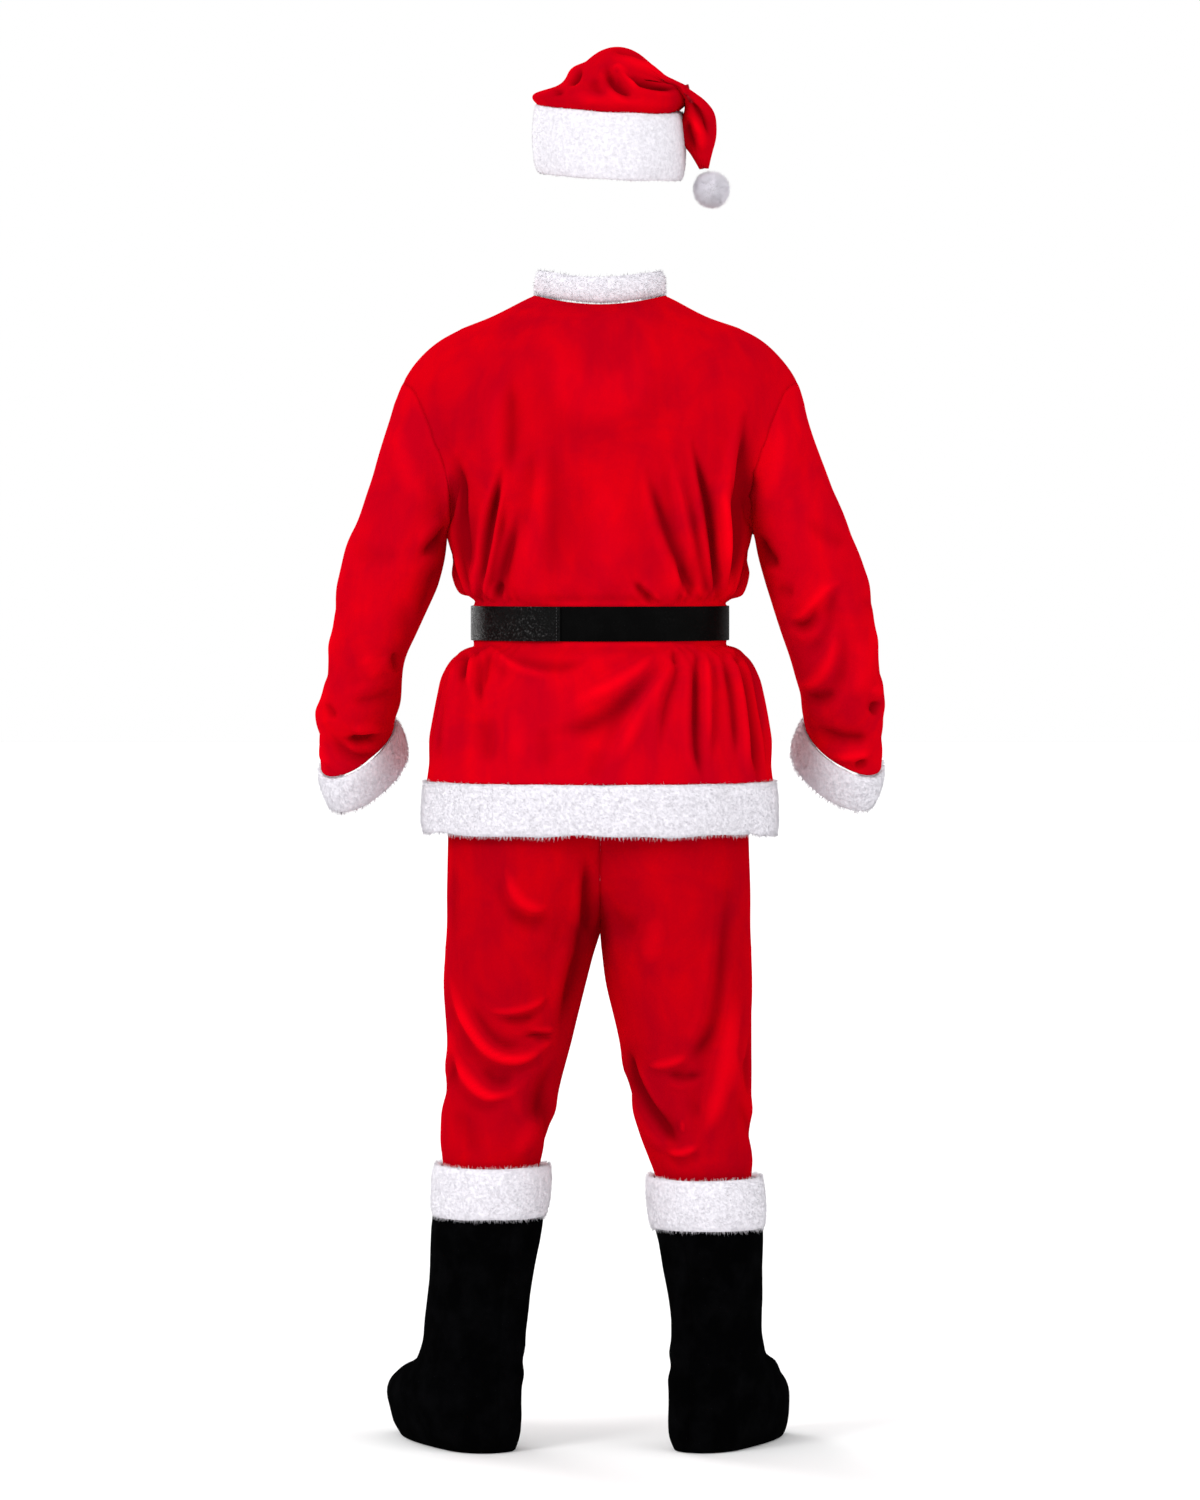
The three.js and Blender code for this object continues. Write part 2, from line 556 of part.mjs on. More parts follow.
function waistPoint(angle, out, height) {
  const turned = ((angle % 360) + 360) % 360;
  const back = turned <= 180;
  const share = back ? 1 - turned / 90 : (turned - 270) / 90;
  const p = ringPoint({ ...waist, height }, share, back ? 1 : -1);
  const normal = new THREE.Vector2(p.x / waist.half ** 2,
    p.y / (back ? waist.back : waist.front) ** 2).normalize();
  return new THREE.Vector3(p.x + normal.x * out, p.y + normal.y * out, p.z);
}

// How far the strap lies off the jacket: over the front strip, and over the other strap.
function strapOut(angle, lapped) {
  const front = Math.abs((((angle % 360) + 360) % 360) - 270);
  return 0.6 + 3.6 * (1 - THREE.MathUtils.smoothstep(front, 19, 29)) + 2.5 * lapped;
}

function strap(from, to, lapAt) {
  const steps = Math.round((to - from) / 5);
  const line = (height, extra) => {
    const row = [];
    for (let i = 0; i <= steps; i += 1) {
      const angle = mix(from, to, i / steps);
      row.push(waistPoint(angle, strapOut(angle, lapAt(angle)) + extra, height));
    }
    return row;
  };
  const face = (extra) => [line(beltBottom, extra), line(beltTop, extra)];
  return slab({ outer: face(beltThickness), inner: face(0) }, 1);
}

function buckleGeometry() {
  const [w, h, bar, prong] = [33, 29, 7, 2.6];
  const corner = 5;
  const outline = [];
  for (const [x, z, start] of [[1, 1, 0], [-1, 1, 90], [-1, -1, 180], [1, -1, 270]]) {
    for (let i = 0; i <= 3; i += 1) {
      const turned = rad(start + 30 * i);
      outline.push(new THREE.Vector2(x * (w - corner) + corner * Math.cos(turned),
        z * (h - corner) + corner * Math.sin(turned)));
    }
  }
  const shape = new THREE.Shape(outline);
  for (const side of [1, -1]) {
    const hole = new THREE.Path();
    hole.moveTo(-w + bar, side * prong);
    hole.lineTo(w - bar, side * prong);
    hole.lineTo(w - bar, side * (h - bar));
    hole.lineTo(-w + bar, side * (h - bar));
    hole.closePath();
    shape.holes.push(hole);
  }
  const geometry = new THREE.ExtrudeGeometry(shape, {
    depth: 3.5, bevelEnabled: false, curveSegments: 5 });
  geometry.rotateX(Math.PI / 2);
  const outermost = waist.front + strapOut(270, 1) + beltThickness + 0.5;
  geometry.translate(0, -outermost, (beltBottom + beltTop) / 2 - neckHeight);
  return geometry;
}

// ---- trousers -----------------------------------------------------------------------------
function trouserPoint(row, u, side, face) {
  const meets = row.middle < row.half;
  const last = meets ? Math.acos(-row.middle / row.half) : Math.PI;
  const angle = u * last;
  const depth = face > 0 ? row.back : row.front;
  let out = 0;
  for (const f of TROUSER_FOLDS) {
    const t = (row.height - f.low) / (f.high - f.low);
    if (f.side === side && (f.face === 'back') === (face > 0) && t > 0 && t < 1) {
      const off = THREE.MathUtils.radToDeg(angle) - mix(f.lowAngle, f.highAngle, t);
      out += f.depth * bell(off / f.width) * Math.sin(Math.PI * t);
    }
  }
  const edge = Math.sin(Math.PI * u);
  out *= Math.min(1, 3 * edge);
  const x = row.middle + (row.half + out) * Math.cos(angle);
  return at(side * Math.max(0, x), face * (depth + out) * Math.sin(angle) + row.shift,
    row.height);
}

function trouserSheet(rows, side, face) {
  const grid = rows.map((row) => {
    const line = [];
    for (let i = 0; i <= quarterColumns; i += 1) {
      line.push(trouserPoint(row, i / quarterColumns, side, face));
    }
    return line;
  });
  return { grid: grid.reverse(), ring: false, turn: side * face };
}

function waistbandSheet() {
  const row = TROUSERS_LEFT[0];
  const section = { half: row.half, back: row.back, front: row.front };
  const grid = [0.3, waistbandHeight].map((up) => {
    const line = [];
    const count = 4 * quarterColumns;
    for (let i = 0; i < count; i += 1) {
      const angle = (2 * Math.PI * i) / count;
      const depth = Math.sin(angle) > 0 ? section.back : section.front;
      line.push(at(section.half * Math.cos(angle), depth * Math.sin(angle), row.height + up));
    }
    return line;
  });
  return { grid, ring: true, turn: 1 };
}

// ---- boot covers --------------------------------------------------------------------------
// `u` runs 0..1 from the back seam to the front seam; `out` is 1 on the outer side of the foot.
function bootPoint(row, u, side, out) {
  const angle = u * Math.PI;
  const along = Math.cos(angle) > 0 ? row.heel : row.toe;
  const forward = -along * Math.cos(angle);
  const broad = row.half * Math.sin(angle) ** 0.85;
  const widen = forward > 0 ? 1 + 0.1 * Math.sin(Math.PI * Math.min(1, forward / 200)) : 1;
  const turned = rad(toeOut);
  const across = out * broad * widen;
  return at(
    side * (row.x + forward * Math.sin(turned) + across * Math.cos(turned)),
    row.y - forward * Math.cos(turned) + across * Math.sin(turned),
    row.height);
}

function bootSheet(rows, side, out) {
  const grid = rows.map((row) => {
    const line = [];
    for (let i = 0; i <= bootColumns; i += 1) {
      line.push(bootPoint(row, i / bootColumns, side, out));
    }
    return line;
  });
  return { grid, ring: false, turn: -side * out };
}

function bootCuffSheet(rows, side) {
  const top = rows.at(-1);
  const grid = BOOT_CUFF.map((level) => {
    const line = [];
    const count = 2 * bootColumns;
    for (let i = 0; i < count; i += 1) {
      const angle = (2 * Math.PI * i) / count;
      line.push(at(side * (top.x - 0.06 * level.above) + level.half * Math.cos(angle),
        top.y + (level.half + 3) * Math.sin(angle), top.height + level.above));
    }
    return line;
  });
  return { grid, ring: true, turn: 1 };
}

// ---- hat ----------------------------------------------------------------------------------
function bandPoint(angle, up, out) {
  const x = (bandHalf.x + out) * Math.cos(angle);
  const y = (bandHalf.y + out) * Math.sin(angle);
  const z = up + x * Math.tan(rad(bandTilt.side)) - y * Math.tan(rad(bandTilt.back));
  return at(bandMiddle.x + x, y, bandMiddle.height + z);
}

function hatSheet() {
  const foot = [];
  for (let i = 0; i < hatColumns; i += 1) {
    foot.push(bandPoint((2 * Math.PI * i) / hatColumns, bandHalf.height + 0.6, -2));
  }
  const cone = HAT.map((row) => {
    const line = [];
    for (let i = 0; i < hatColumns; i += 1) {
      const angle = (2 * Math.PI * i) / hatColumns;
      const reach = (1 + Math.cos(angle)) / 2;
      const deep = Math.sin(angle);
      line.push(at(mix(row.bX, row.aX, reach), row.midY + row.depth * deep,
        mix(row.bH, row.aH, reach)));
    }
    return line;
  });
  return { grid: [foot, ...cone], ring: true, turn: 1 };
}

function bandSheet() {
  const grid = BAND.map((row) => {
    const line = [];
    for (let i = 0; i < 2 * hatColumns; i += 1) {
      line.push(bandPoint((Math.PI * i) / hatColumns, bandHalf.height * row.up, row.out));
    }
    return line;
  });
  return { grid, ring: true, turn: 1 };
}

// ---- assembly -----------------------------------------------------------------------------
const finish = (color, roughness, metalness = 0) => (
  new THREE.MeshStandardMaterial({ color, roughness, metalness }));
const finishes = {
  velour: () => finish(0xc8001a, 0.85),
  plush: () => finish(0xf2f0f4, 0.95),
  black: () => finish(0x060606, 0.95),
  leather: () => finish(0x0a0a0a, 0.25),
  elastic: () => finish(0xb80018, 0.9),
  metal: () => finish(0xd8b45a, 0.3, 1),
};

const suit = new THREE.Group();
suit.name = 'santa_suit';

function add(name, geometry, look) {
  const mesh = new THREE.Mesh(geometry, finishes[look]());
  mesh.name = name;
  suit.add(mesh);
}

// Jacket and sleeves share their seams.
const sleeveLeft = sleeveSheet(SLEEVE_LEFT, 1);
const sleeveRight = sleeveSheet(SLEEVE_RIGHT, -1);
const jacket = {
  jacket_back: bodySheet(1, -1, 1, halfColumns),
  jacket_front_right: bodySheet(-1, 0, -1, halfColumns / 2),
  jacket_front_left: bodySheet(0, 1, -1, halfColumns / 2),
  sleeve_left: sleeveLeft,
  sleeve_right: sleeveRight,
};
const jacketNormals = sharedNormals(Object.values(jacket));
for (const [name, sheet] of Object.entries(jacket)) {
  add(name, wall(sheet, jacketNormals, cloth), 'velour');
}

function addAlone(name, sheet, thickness, look) {
  add(name, wall(sheet, sharedNormals([sheet]), thickness), look);
}

addAlone('cuff_left', cuffSheet(sleeveLeft, 1), furWall, 'plush');
addAlone('cuff_right', cuffSheet(sleeveRight, -1), furWall, 'plush');
addAlone('hem_trim', hemSheet(), furWall, 'plush');
addAlone('neck_trim', neckSheet(), furWall - 1, 'plush');
add('front_trim', slab(frontTrim(), 1), 'plush');

const lap = (from, width) => (angle) => THREE.MathUtils.smoothstep(angle, from, from + width);
add('belt_strap_left', strap(beltPieces.left.from, beltPieces.left.to,
  lap(beltPieces.left.lapFrom, 14)), 'leather');
add('belt_strap_right', strap(beltPieces.right.from, beltPieces.right.to,
  lap(beltPieces.right.lapFrom - 16, 14)), 'leather');
add('buckle', buckleGeometry(), 'metal');

const trousers = {
  trousers_back_left: trouserSheet(TROUSERS_LEFT, 1, 1),
  trousers_front_left: trouserSheet(TROUSERS_LEFT, 1, -1),
  trousers_back_right: trouserSheet(TROUSERS_RIGHT, -1, 1),
  trousers_front_right: trouserSheet(TROUSERS_RIGHT, -1, -1),
};
const trouserNormals = sharedNormals(Object.values(trousers));
for (const [name, sheet] of Object.entries(trousers)) {
  add(name, wall(sheet, trouserNormals, cloth), 'velour');
}
addAlone('trousers_waistband', waistbandSheet(), cloth + 0.5, 'elastic');

for (const [word, rows, side] of [['left', BOOT_LEFT, 1], ['right', BOOT_RIGHT, -1]]) {
  const outer = bootSheet(rows, side, 1);
  const inner = bootSheet(rows, side, -1);
  const normals = sharedNormals([outer, inner]);
  add(`boot_${word}_outer`, wall(outer, normals, bootCloth), 'black');
  add(`boot_${word}_inner`, wall(inner, normals, bootCloth), 'black');
  addAlone(`boot_cuff_${word}`, bootCuffSheet(rows, side), bootCuffWall, 'plush');
}

addAlone('hat_crown', hatSheet(), cloth, 'velour');
addAlone('hat_band', bandSheet(), furWall, 'plush');
const pompom = new THREE.SphereGeometry(pompomRadius, 18, 12);
const tip = HAT.at(-1);
pompom.translate((tip.aX + tip.bX) / 2 - 9, tip.midY + 1,
  tip.aH - pompomRadius - 0.8 - neckHeight);
add('hat_pompom', pompom, 'plush');

export default suit;
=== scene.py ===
"""Santa suit: hat, belted jacket, trousers and boot covers, worn and seen from behind."""

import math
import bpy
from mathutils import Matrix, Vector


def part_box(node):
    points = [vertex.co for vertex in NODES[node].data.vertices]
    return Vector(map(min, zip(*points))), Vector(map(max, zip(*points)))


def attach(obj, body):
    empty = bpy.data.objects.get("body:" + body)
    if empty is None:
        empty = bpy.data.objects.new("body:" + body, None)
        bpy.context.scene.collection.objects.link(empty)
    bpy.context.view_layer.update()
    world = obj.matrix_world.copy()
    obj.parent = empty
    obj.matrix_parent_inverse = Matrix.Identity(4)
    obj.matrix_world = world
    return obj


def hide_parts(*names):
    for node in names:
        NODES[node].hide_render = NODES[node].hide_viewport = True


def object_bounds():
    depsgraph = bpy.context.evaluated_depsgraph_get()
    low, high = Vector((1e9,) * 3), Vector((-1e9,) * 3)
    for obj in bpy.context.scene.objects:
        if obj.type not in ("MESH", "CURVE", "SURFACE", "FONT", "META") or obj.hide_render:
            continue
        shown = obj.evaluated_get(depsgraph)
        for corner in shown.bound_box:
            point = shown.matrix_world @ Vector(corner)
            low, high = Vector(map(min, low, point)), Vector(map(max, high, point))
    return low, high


bl_info = {
    "name": "Santa suit",
    "version": (1, 0, 0),
    "blender": (4, 5, 0),
    "location": "View3D > Sidebar > Santa suit",
    "description": "Builds a worn red velour suit with white plush trim",
    "category": "Object",
}

import bmesh
import bpy
import numpy as np
from bpy.props import FloatProperty, FloatVectorProperty, IntProperty, PointerProperty
from mathutils import Vector, noise
from mathutils.bvhtree import BVHTree
from mathutils.kdtree import KDTree

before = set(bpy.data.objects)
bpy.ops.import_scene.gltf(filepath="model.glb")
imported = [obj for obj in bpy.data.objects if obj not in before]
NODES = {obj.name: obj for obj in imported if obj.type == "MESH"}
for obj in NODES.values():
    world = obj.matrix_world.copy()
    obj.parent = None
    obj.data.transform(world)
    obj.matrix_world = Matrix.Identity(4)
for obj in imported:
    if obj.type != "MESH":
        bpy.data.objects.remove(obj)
CAD_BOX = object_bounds()

MM = 0.001
NECK = 1475                 # the origin's height above the soles, in millimetres
SEED = 20
SHARP = math.radians(58)    # a wall's rim meets its faces at more than this
RIM = 2.4 * MM              # and no triangle of the rim is wider than this
BELT_LOW, BELT_HIGH = 1036, 1080
HEM_TOP = 856
STRIP_HALF = 38             # half width of the plush strip down the front
FULL_FOLD = 9.0             # height or depth of a crease that gets its full painted shade or painted highlight

# ---- creases ---------------------------------------------------------------------------
# Each row: half width, height (troughs are negative), then the line that it follows, as
# (distance to the wearer's left, height above the soles). All in millimetres, on the back.
CREASES = {
    "body": (
        # above the belt, the wearer's left
        (8, -15, (180, 1265), (177, 1220), (170, 1160), (166, 1110)),
        (5, -6, (190, 1245), (187, 1180), (178, 1120), (168, 1088)),
        (5, 6, (168, 1240), (168, 1160), (162, 1088)),
        (5, -13, (125, 1250), (135, 1195), (147, 1130), (153, 1086)),
        (6, 7, (118, 1245), (128, 1190), (140, 1125), (146, 1086)),
        (5, -9, (118, 1215), (128, 1165), (138, 1115), (143, 1086)),
        (6, -7, (102, 1200), (116, 1150), (130, 1105), (134, 1086)),
        (4, -8, (128, 1112), (130, 1084)),
        (5, 5, (152, 1150), (158, 1086)),
        (9, -5, (113, 1370), (112, 1310), (114, 1240)),
        (10, -4, (86, 1290), (88, 1215), (100, 1160)),
        (12, 4, (72, 1270), (84, 1190), (105, 1110)),
        # above the belt, the wearer's right
        (6, -8, (-60, 1250), (-80, 1190), (-105, 1130), (-127, 1086)),
        (5, -14, (-118, 1285), (-136, 1210), (-148, 1140), (-151, 1086)),
        (6, 7, (-150, 1240), (-158, 1170), (-158, 1088)),
        (8, -17, (-185, 1320), (-181, 1230), (-176, 1160), (-171, 1108)),
        (7, -5, (-106, 1240), (-122, 1170), (-136, 1110), (-141, 1086)),
        (7, 5, (-90, 1265), (-108, 1190), (-127, 1115)),
        (5, -5, (-166, 1260), (-168, 1180), (-165, 1110)),
        (4, -5, (-98, 1135), (-118, 1085)),
        (5, -6, (-42, 1112), (-70, 1082)),
        (5, 4, (-52, 1112), (-80, 1084)),
        (5, -5, (-196, 1250), (-198, 1190)),
        # the broad middle and the upper back
        (14, -3, (60, 1300), (58, 1200), (62, 1100)),
        (18, 2, (0, 1245), (-12, 1170), (-4, 1095)),
        (20, 3, (60, 1400), (30, 1350), (-30, 1350), (-60, 1400)),
        # below the belt
        (5, -9, (172, 1030), (177, 985)),
        (5, -9, (155, 1030), (156, 990), (152, 955)),
        (5, 7, (162, 1026), (164, 970)),
        (5, -6, (143, 1028), (148, 975)),
        (6, 8, (138, 1030), (116, 1010), (86, 998), (55, 992)),
        (10, -8, (120, 1024), (90, 1010), (50, 1006), (10, 1014)),
        (13, -11, (-88, 1015), (-50, 975), (-15, 948), (20, 930), (65, 925)),
        (9, 8, (-72, 1024), (-45, 996), (-8, 976), (35, 962)),
        (10, 8, (-94, 1008), (-62, 968), (-40, 925), (-16, 875)),
        (6, -8, (-99, 1026), (-97, 995), (-84, 955), (-75, 895)),
        (6, -12, (-125, 1030), (-124, 970), (-123, 905), (-132, 855)),
        (6, 8, (-134, 1028), (-135, 975), (-140, 890)),
        (6, -6, (-146, 1024), (-146, 960), (-142, 875)),
        (6, -10, (-158, 1020), (-170, 960), (-174, 885)),
        (6, 6, (-168, 1026), (-184, 955), (-190, 870)),
        (7, -13, (-176, 1022), (-190, 970), (-199, 900), (-202, 850)),
        (4, -8, (-172, 1028), (-178, 1008)),
        (4, -8, (-94, 1030), (-95, 1006)),
        (12, -6, (192, 1005), (200, 940), (208, 875)),
        (14, -5, (150, 950), (142, 875)),
        (14, -4, (76, 935), (66, 870)),
        (14, 4, (110, 960), (100, 880)),
        (12, -4, (0, 905), (12, 858)),
    ),
    "sleeve_left": (
        (5, -13, (328, 907), (305, 906), (280, 913)),
        (9, -7, (348, 918), (330, 892), (302, 884), (280, 894)),
        (6, 7, (359, 925), (357, 892), (344, 870)),
        (7, 6, (320, 922), (298, 920), (275, 926)),
        (8, -12, (182, 1190), (204, 1162), (228, 1142)),
        (12, -7, (198, 1142), (215, 1100), (226, 1055)),
        (6, -8, (262, 1022), (256, 992)),
        (6, 5, (340, 1120), (344, 1035)),
        (14, -4, (252, 1105), (242, 1040), (262, 1000)),
        (12, 5, (302, 1020), (280, 985)),
        (8, -5, (256, 978), (285, 960), (322, 955)),
        (6, -7, (356, 955), (338, 934)),
        (14, -3, (320, 1160), (288, 1142), (245, 1150)),
        (16, 4, (210, 1195), (248, 1260), (262, 1325)),
    ),
    "sleeve_right": (
        (8, -12, (-194, 1175), (-210, 1146), (-228, 1126)),
        (8, 9, (-238, 1066), (-258, 1068), (-272, 1084), (-288, 1102), (-310, 1112)),
        (7, -8, (-242, 1050), (-262, 1058), (-278, 1085)),
        (14, -5, (-255, 1010), (-290, 1045), (-300, 1100)),
        (9, 9, (-250, 975), (-275, 984), (-292, 1012), (-302, 1065)),
        (8, -7, (-260, 964), (-282, 958), (-304, 970)),
        (9, -10, (-272, 926), (-300, 910), (-330, 907), (-348, 912)),
        (7, 8, (-298, 888), (-325, 888), (-348, 894)),
        (5, -8, (-326, 872), (-344, 880)),
        (6, -13, (-350, 938), (-359, 958)),
        (8, 7, (-345, 975), (-362, 968)),
        (12, 6, (-332, 1045), (-336, 1000), (-322, 955)),
        (10, -5, (-222, 1102), (-248, 1094)),
        (12, 4, (-205, 1195), (-224, 1258), (-233, 1330)),
        (12, -4, (-256, 1195), (-292, 1168), (-322, 1158)),
    ),
    "trousers": (
        # the wearer's left leg
        (7, 13, (196, 630), (180, 575), (160, 540), (138, 514), (110, 504), (85, 511), (58, 532)),
        (8, -8, (168, 582), (147, 542), (122, 522), (94, 522)),
        (7, 12, (190, 532), (176, 492), (160, 468), (140, 457), (112, 462)),
        (8, -8, (155, 496), (132, 476), (104, 480)),
        (5, 8, (146, 568), (115, 566), (85, 574), (66, 588)),
        (6, -7, (128, 557), (100, 554), (78, 560)),
        (4, 8, (88, 543), (56, 540)),
        (4, -8, (100, 536), (54, 530)),
        (8, 9, (120, 755), (106, 716), (86, 700), (62, 701)),
        (12, -5, (122, 700), (90, 678), (58, 684)),
        (9, -13, (20, 722), (22, 660), (35, 600), (52, 528)),
        (12, -8, (58, 505), (74, 455), (82, 415)),
        (14, -4, (62, 645), (35, 685)),
        (8, -4, (186, 765), (190, 645)),
        (12, 5, (112, 370), (92, 405), (72, 435)),
        (14, -4, (192, 445), (168, 412), (156, 375)),
        # the wearer's right leg
        (6, -12, (18, 765), (15, 705), (10, 655)),
        (12, 8, (-166, 650), (-164, 560), (-156, 480), (-140, 430), (-118, 392)),
        (10, -9, (-165, 765), (-158, 640), (-152, 560), (-130, 520), (-104, 505)),
        (6, 8, (-58, 495), (-88, 499), (-116, 511)),
        (5, -9, (-84, 485), (-106, 481), (-132, 485)),
        (9, -15, (-26, 532), (-45, 480), (-66, 440), (-86, 410), (-100, 394)),
        (6, 9, (-40, 512), (-60, 466), (-86, 424)),
        (6, 9, (-84, 385), (-106, 385), (-126, 394)),
        (3, 6, (-104, 428), (-105, 408)),
        (8, -8, (-196, 600), (-190, 505), (-188, 430)),
        (4, 6, (-193, 590), (-186, 520), (-181, 495)),
        (14, 4, (-72, 695), (-60, 620)),
        (12, -4, (-10, 705), (-30, 676), (-52, 668)),
        (10, -4, (-115, 455), (-130, 425), (-116, 400)),
    ),
    "hat": (
        (4, -11, (26, 1768), (30, 1752), (37, 1736)),
        (5, -11, (-7, 1768), (-12, 1750), (-20, 1738), (-33, 1727), (-44, 1722)),
        (5, 8, (-12, 1754), (-22, 1761), (-31, 1754), (-40, 1740), (-48, 1728)),
        (4, -11, (-28, 1758), (-42, 1746), (-62, 1740), (-85, 1736), (-102, 1737)),
        (8, 6, (-14, 1777), (-45, 1769), (-75, 1755), (-100, 1743)),
        (6, -5, (-8, 1790), (-40, 1779), (-66, 1768)),
        (9, -5, (8, 1752), (4, 1736), (-8, 1722)),
        (9, 4, (52, 1723), (0, 1718), (-60, 1714), (-105, 1720)),
        (5, -8, (60, 1744), (52, 1733), (62, 1725)),
        (5, -10, (-108, 1724), (-122, 1710), (-133, 1694), (-142, 1674)),
        (6, -7, (-108, 1700), (-112, 1680), (-122, 1655)),
        (6, 6, (-118, 1705), (-126, 1680), (-131, 1655)),
    ),
}
# The same on the sides: which side, then half width, height and the line, whose first number
# is the distance behind the middle.
SIDE_CREASES = {
    "body": (
        ("left", 7, -10, (20, 1150), (26, 1115), (24, 1088)),
        ("left", 7, 7, (-8, 1140), (-4, 1108), (-10, 1088)),
        ("left", 6, -9, (-40, 1148), (-32, 1112), (-36, 1088)),
        ("left", 8, -9, (10, 1026), (22, 960), (30, 880)),
        ("left", 10, 8, (-22, 1026), (-14, 950), (-8, 870)),
        ("left", 8, -9, (-52, 1026), (-54, 960), (-44, 890)),
        ("left", 10, 7, (52, 1024), (66, 950), (76, 880)),
        ("right", 7, -10, (14, 1150), (20, 1112), (16, 1088)),
        ("right", 7, 7, (-14, 1142), (-10, 1108), (-14, 1088)),
        ("right", 6, -9, (-44, 1145), (-38, 1112), (-42, 1088)),
        ("right", 8, -11, (24, 1026), (38, 950), (44, 864)),
        ("right", 10, 8, (-4, 1026), (4, 945), (2, 866)),
        ("right", 8, -9, (-38, 1026), (-34, 960), (-42, 880)),
        ("right", 10, 7, (-70, 1024), (-76, 950), (-66, 884)),
    ),
    "sleeve_left": (
        ("left", 13, -3, (-40, 1090), (0, 1075), (38, 1085)),
        ("left", 12, 3, (-60, 1040), (-16, 1030), (24, 1046)),
        ("left", 12, -3, (-78, 1000), (-36, 990), (6, 1006)),
        ("left", 10, 3, (-100, 955), (-60, 942), (-20, 958)),
        ("left", 9, -3, (-118, 918), (-80, 906), (-44, 920)),
        ("left", 16, 2, (20, 1250), (-6, 1190), (10, 1130)),
    ),
    "sleeve_right": (
        ("right", 13, -3, (-42, 1100), (-2, 1080), (36, 1092)),
        ("right", 12, 3, (-62, 1052), (-18, 1034), (22, 1050)),
        ("right", 12, -3, (-80, 1008), (-38, 992), (4, 1004)),
        ("right", 10, 3, (-100, 958), (-62, 946), (-22, 962)),
        ("right", 9, -3, (-118, 920), (-82, 908), (-46, 920)),
        ("right", 16, -2, (18, 1262), (-8, 1200), (8, 1140)),
    ),
    "trousers": (
        ("left", 14, 3, (20, 760), (10, 640), (24, 530)),
        ("left", 12, -3, (-30, 740), (-36, 620), (-20, 500)),
        ("left", 12, 4, (52, 560), (10, 500), (-34, 480)),
        ("left", 12, -4, (46, 520), (6, 462), (-36, 450)),
        ("right", 14, 3, (14, 750), (4, 630), (16, 520)),
        ("right", 12, -3, (-36, 740), (-40, 610), (-24, 500)),
        ("right", 12, 4, (50, 500), (8, 440), (-32, 430)),
        ("right", 12, -4, (50, 460), (6, 405), (-30, 396)),
    ),
    "hat": (
        ("left", 8, -6, (-50, 1732), (-20, 1744), (16, 1738)),
        ("left", 9, 6, (-40, 1752), (-6, 1762), (24, 1752)),
    ),
}
# Gathers where the belt draws the jacket in: first and last place round the waist in degrees
# from the wearer's left, spacing, length above the belt, length below it, and depth.
GATHERS = (
    (4, 58, 6.5, 110, 80, 2.6),
    (62, 116, 11.0, 40, 34, 1.4),
    (120, 176, 6.0, 120, 110, 2.6),
    (184, 248, 7.0, 100, 90, 2.8),
    (292, 356, 6.6, 110, 85, 2.8),
)

# ---- pieces ----------------------------------------------------------------------------
# Panels that are sewn to each other, in order.
JACKET = ("jacket_back", "jacket_front_left", "jacket_front_right",
          "sleeve_left", "sleeve_right")
TROUSERS = ("trousers_back_left", "trousers_front_left",
            "trousers_back_right", "trousers_front_right")
BOOTS = (("boot_left_outer", "boot_left_inner"), ("boot_right_outer", "boot_right_inner"))
FLOOR_DROP = 0.001
STITCH_SHAPE = (0.45, 0.45, 1.35)
# Plush trims: pile length against the usual one, fringe at the lower and at the upper edge
# (how far strands there turn out over the edge).
TRIMS = {
    "hem_trim": (1.0, 1.6, 0.7),
    "cuff_left": (1.0, 1.5, 0.6),
    "cuff_right": (1.0, 1.5, 0.6),
    "boot_cuff_left": (0.9, 0.7, 1.4),
    "boot_cuff_right": (0.9, 0.7, 1.4),
    "hat_band": (0.45, 0.3, 0.7),
    "neck_trim": (1.0, 0.6, 0.8),
    "front_trim": (1.0, 0.7, 0.7),
}
BOOT_CUFF_JOINS = {"boot_cuff_left": 132, "boot_cuff_right": -132}


# ---- sizes and colours a user may change -------------------------------------------------
class SuitCloth(bpy.types.PropertyGroup):
    """Colours and sizes of the cloth."""
    red: FloatVectorProperty(name="Velour red", description="Colour of the velour",
                             subtype="COLOR", size=3, min=0, max=1,
                             default=(0.55, 0.0, 0.0042))
    shade: FloatVectorProperty(name="Velour shade",
                               description="Velour where the nap lies the other way",
                               subtype="COLOR", size=3, min=0, max=1,
                               default=(0.385, 0.0, 0.0064))
    reverse: FloatVectorProperty(name="Velour back", description="Colour of the cloth's back",
                                 subtype="COLOR", size=3, min=0, max=1,
                                 default=(0.28, 0.003, 0.008))
    black: FloatVectorProperty(name="Boot plush", description="Colour of the boot covers",
                               subtype="COLOR", size=3, min=0, max=1,
                               default=(0.0006, 0.0006, 0.0007))
    crease: FloatProperty(name="Crease depth", description="Scale of the hand-placed creases",
                          default=1.0, min=0, max=2)
    thickness: FloatProperty(name="Cloth thickness", description="Thickness of the cloth",
                             default=1.6 * MM, min=0.0005, max=0.003, unit="LENGTH")


class SuitPlush(bpy.types.PropertyGroup):
    """Colour and pile of the white trim."""
    white: FloatVectorProperty(name="Plush white", description="Colour of the plush pile",
                               subtype="COLOR", size=3, min=0, max=1,
                               default=(0.72, 0.70, 0.75))
    pile: FloatProperty(name="Pile length", description="Length of the plush pile",
                        default=4.2 * MM, min=0.001, max=0.012, unit="LENGTH")
    density: FloatProperty(name="Pile density", description="Strands in a square millimetre",
                           default=0.25, min=0.05, max=1.5)


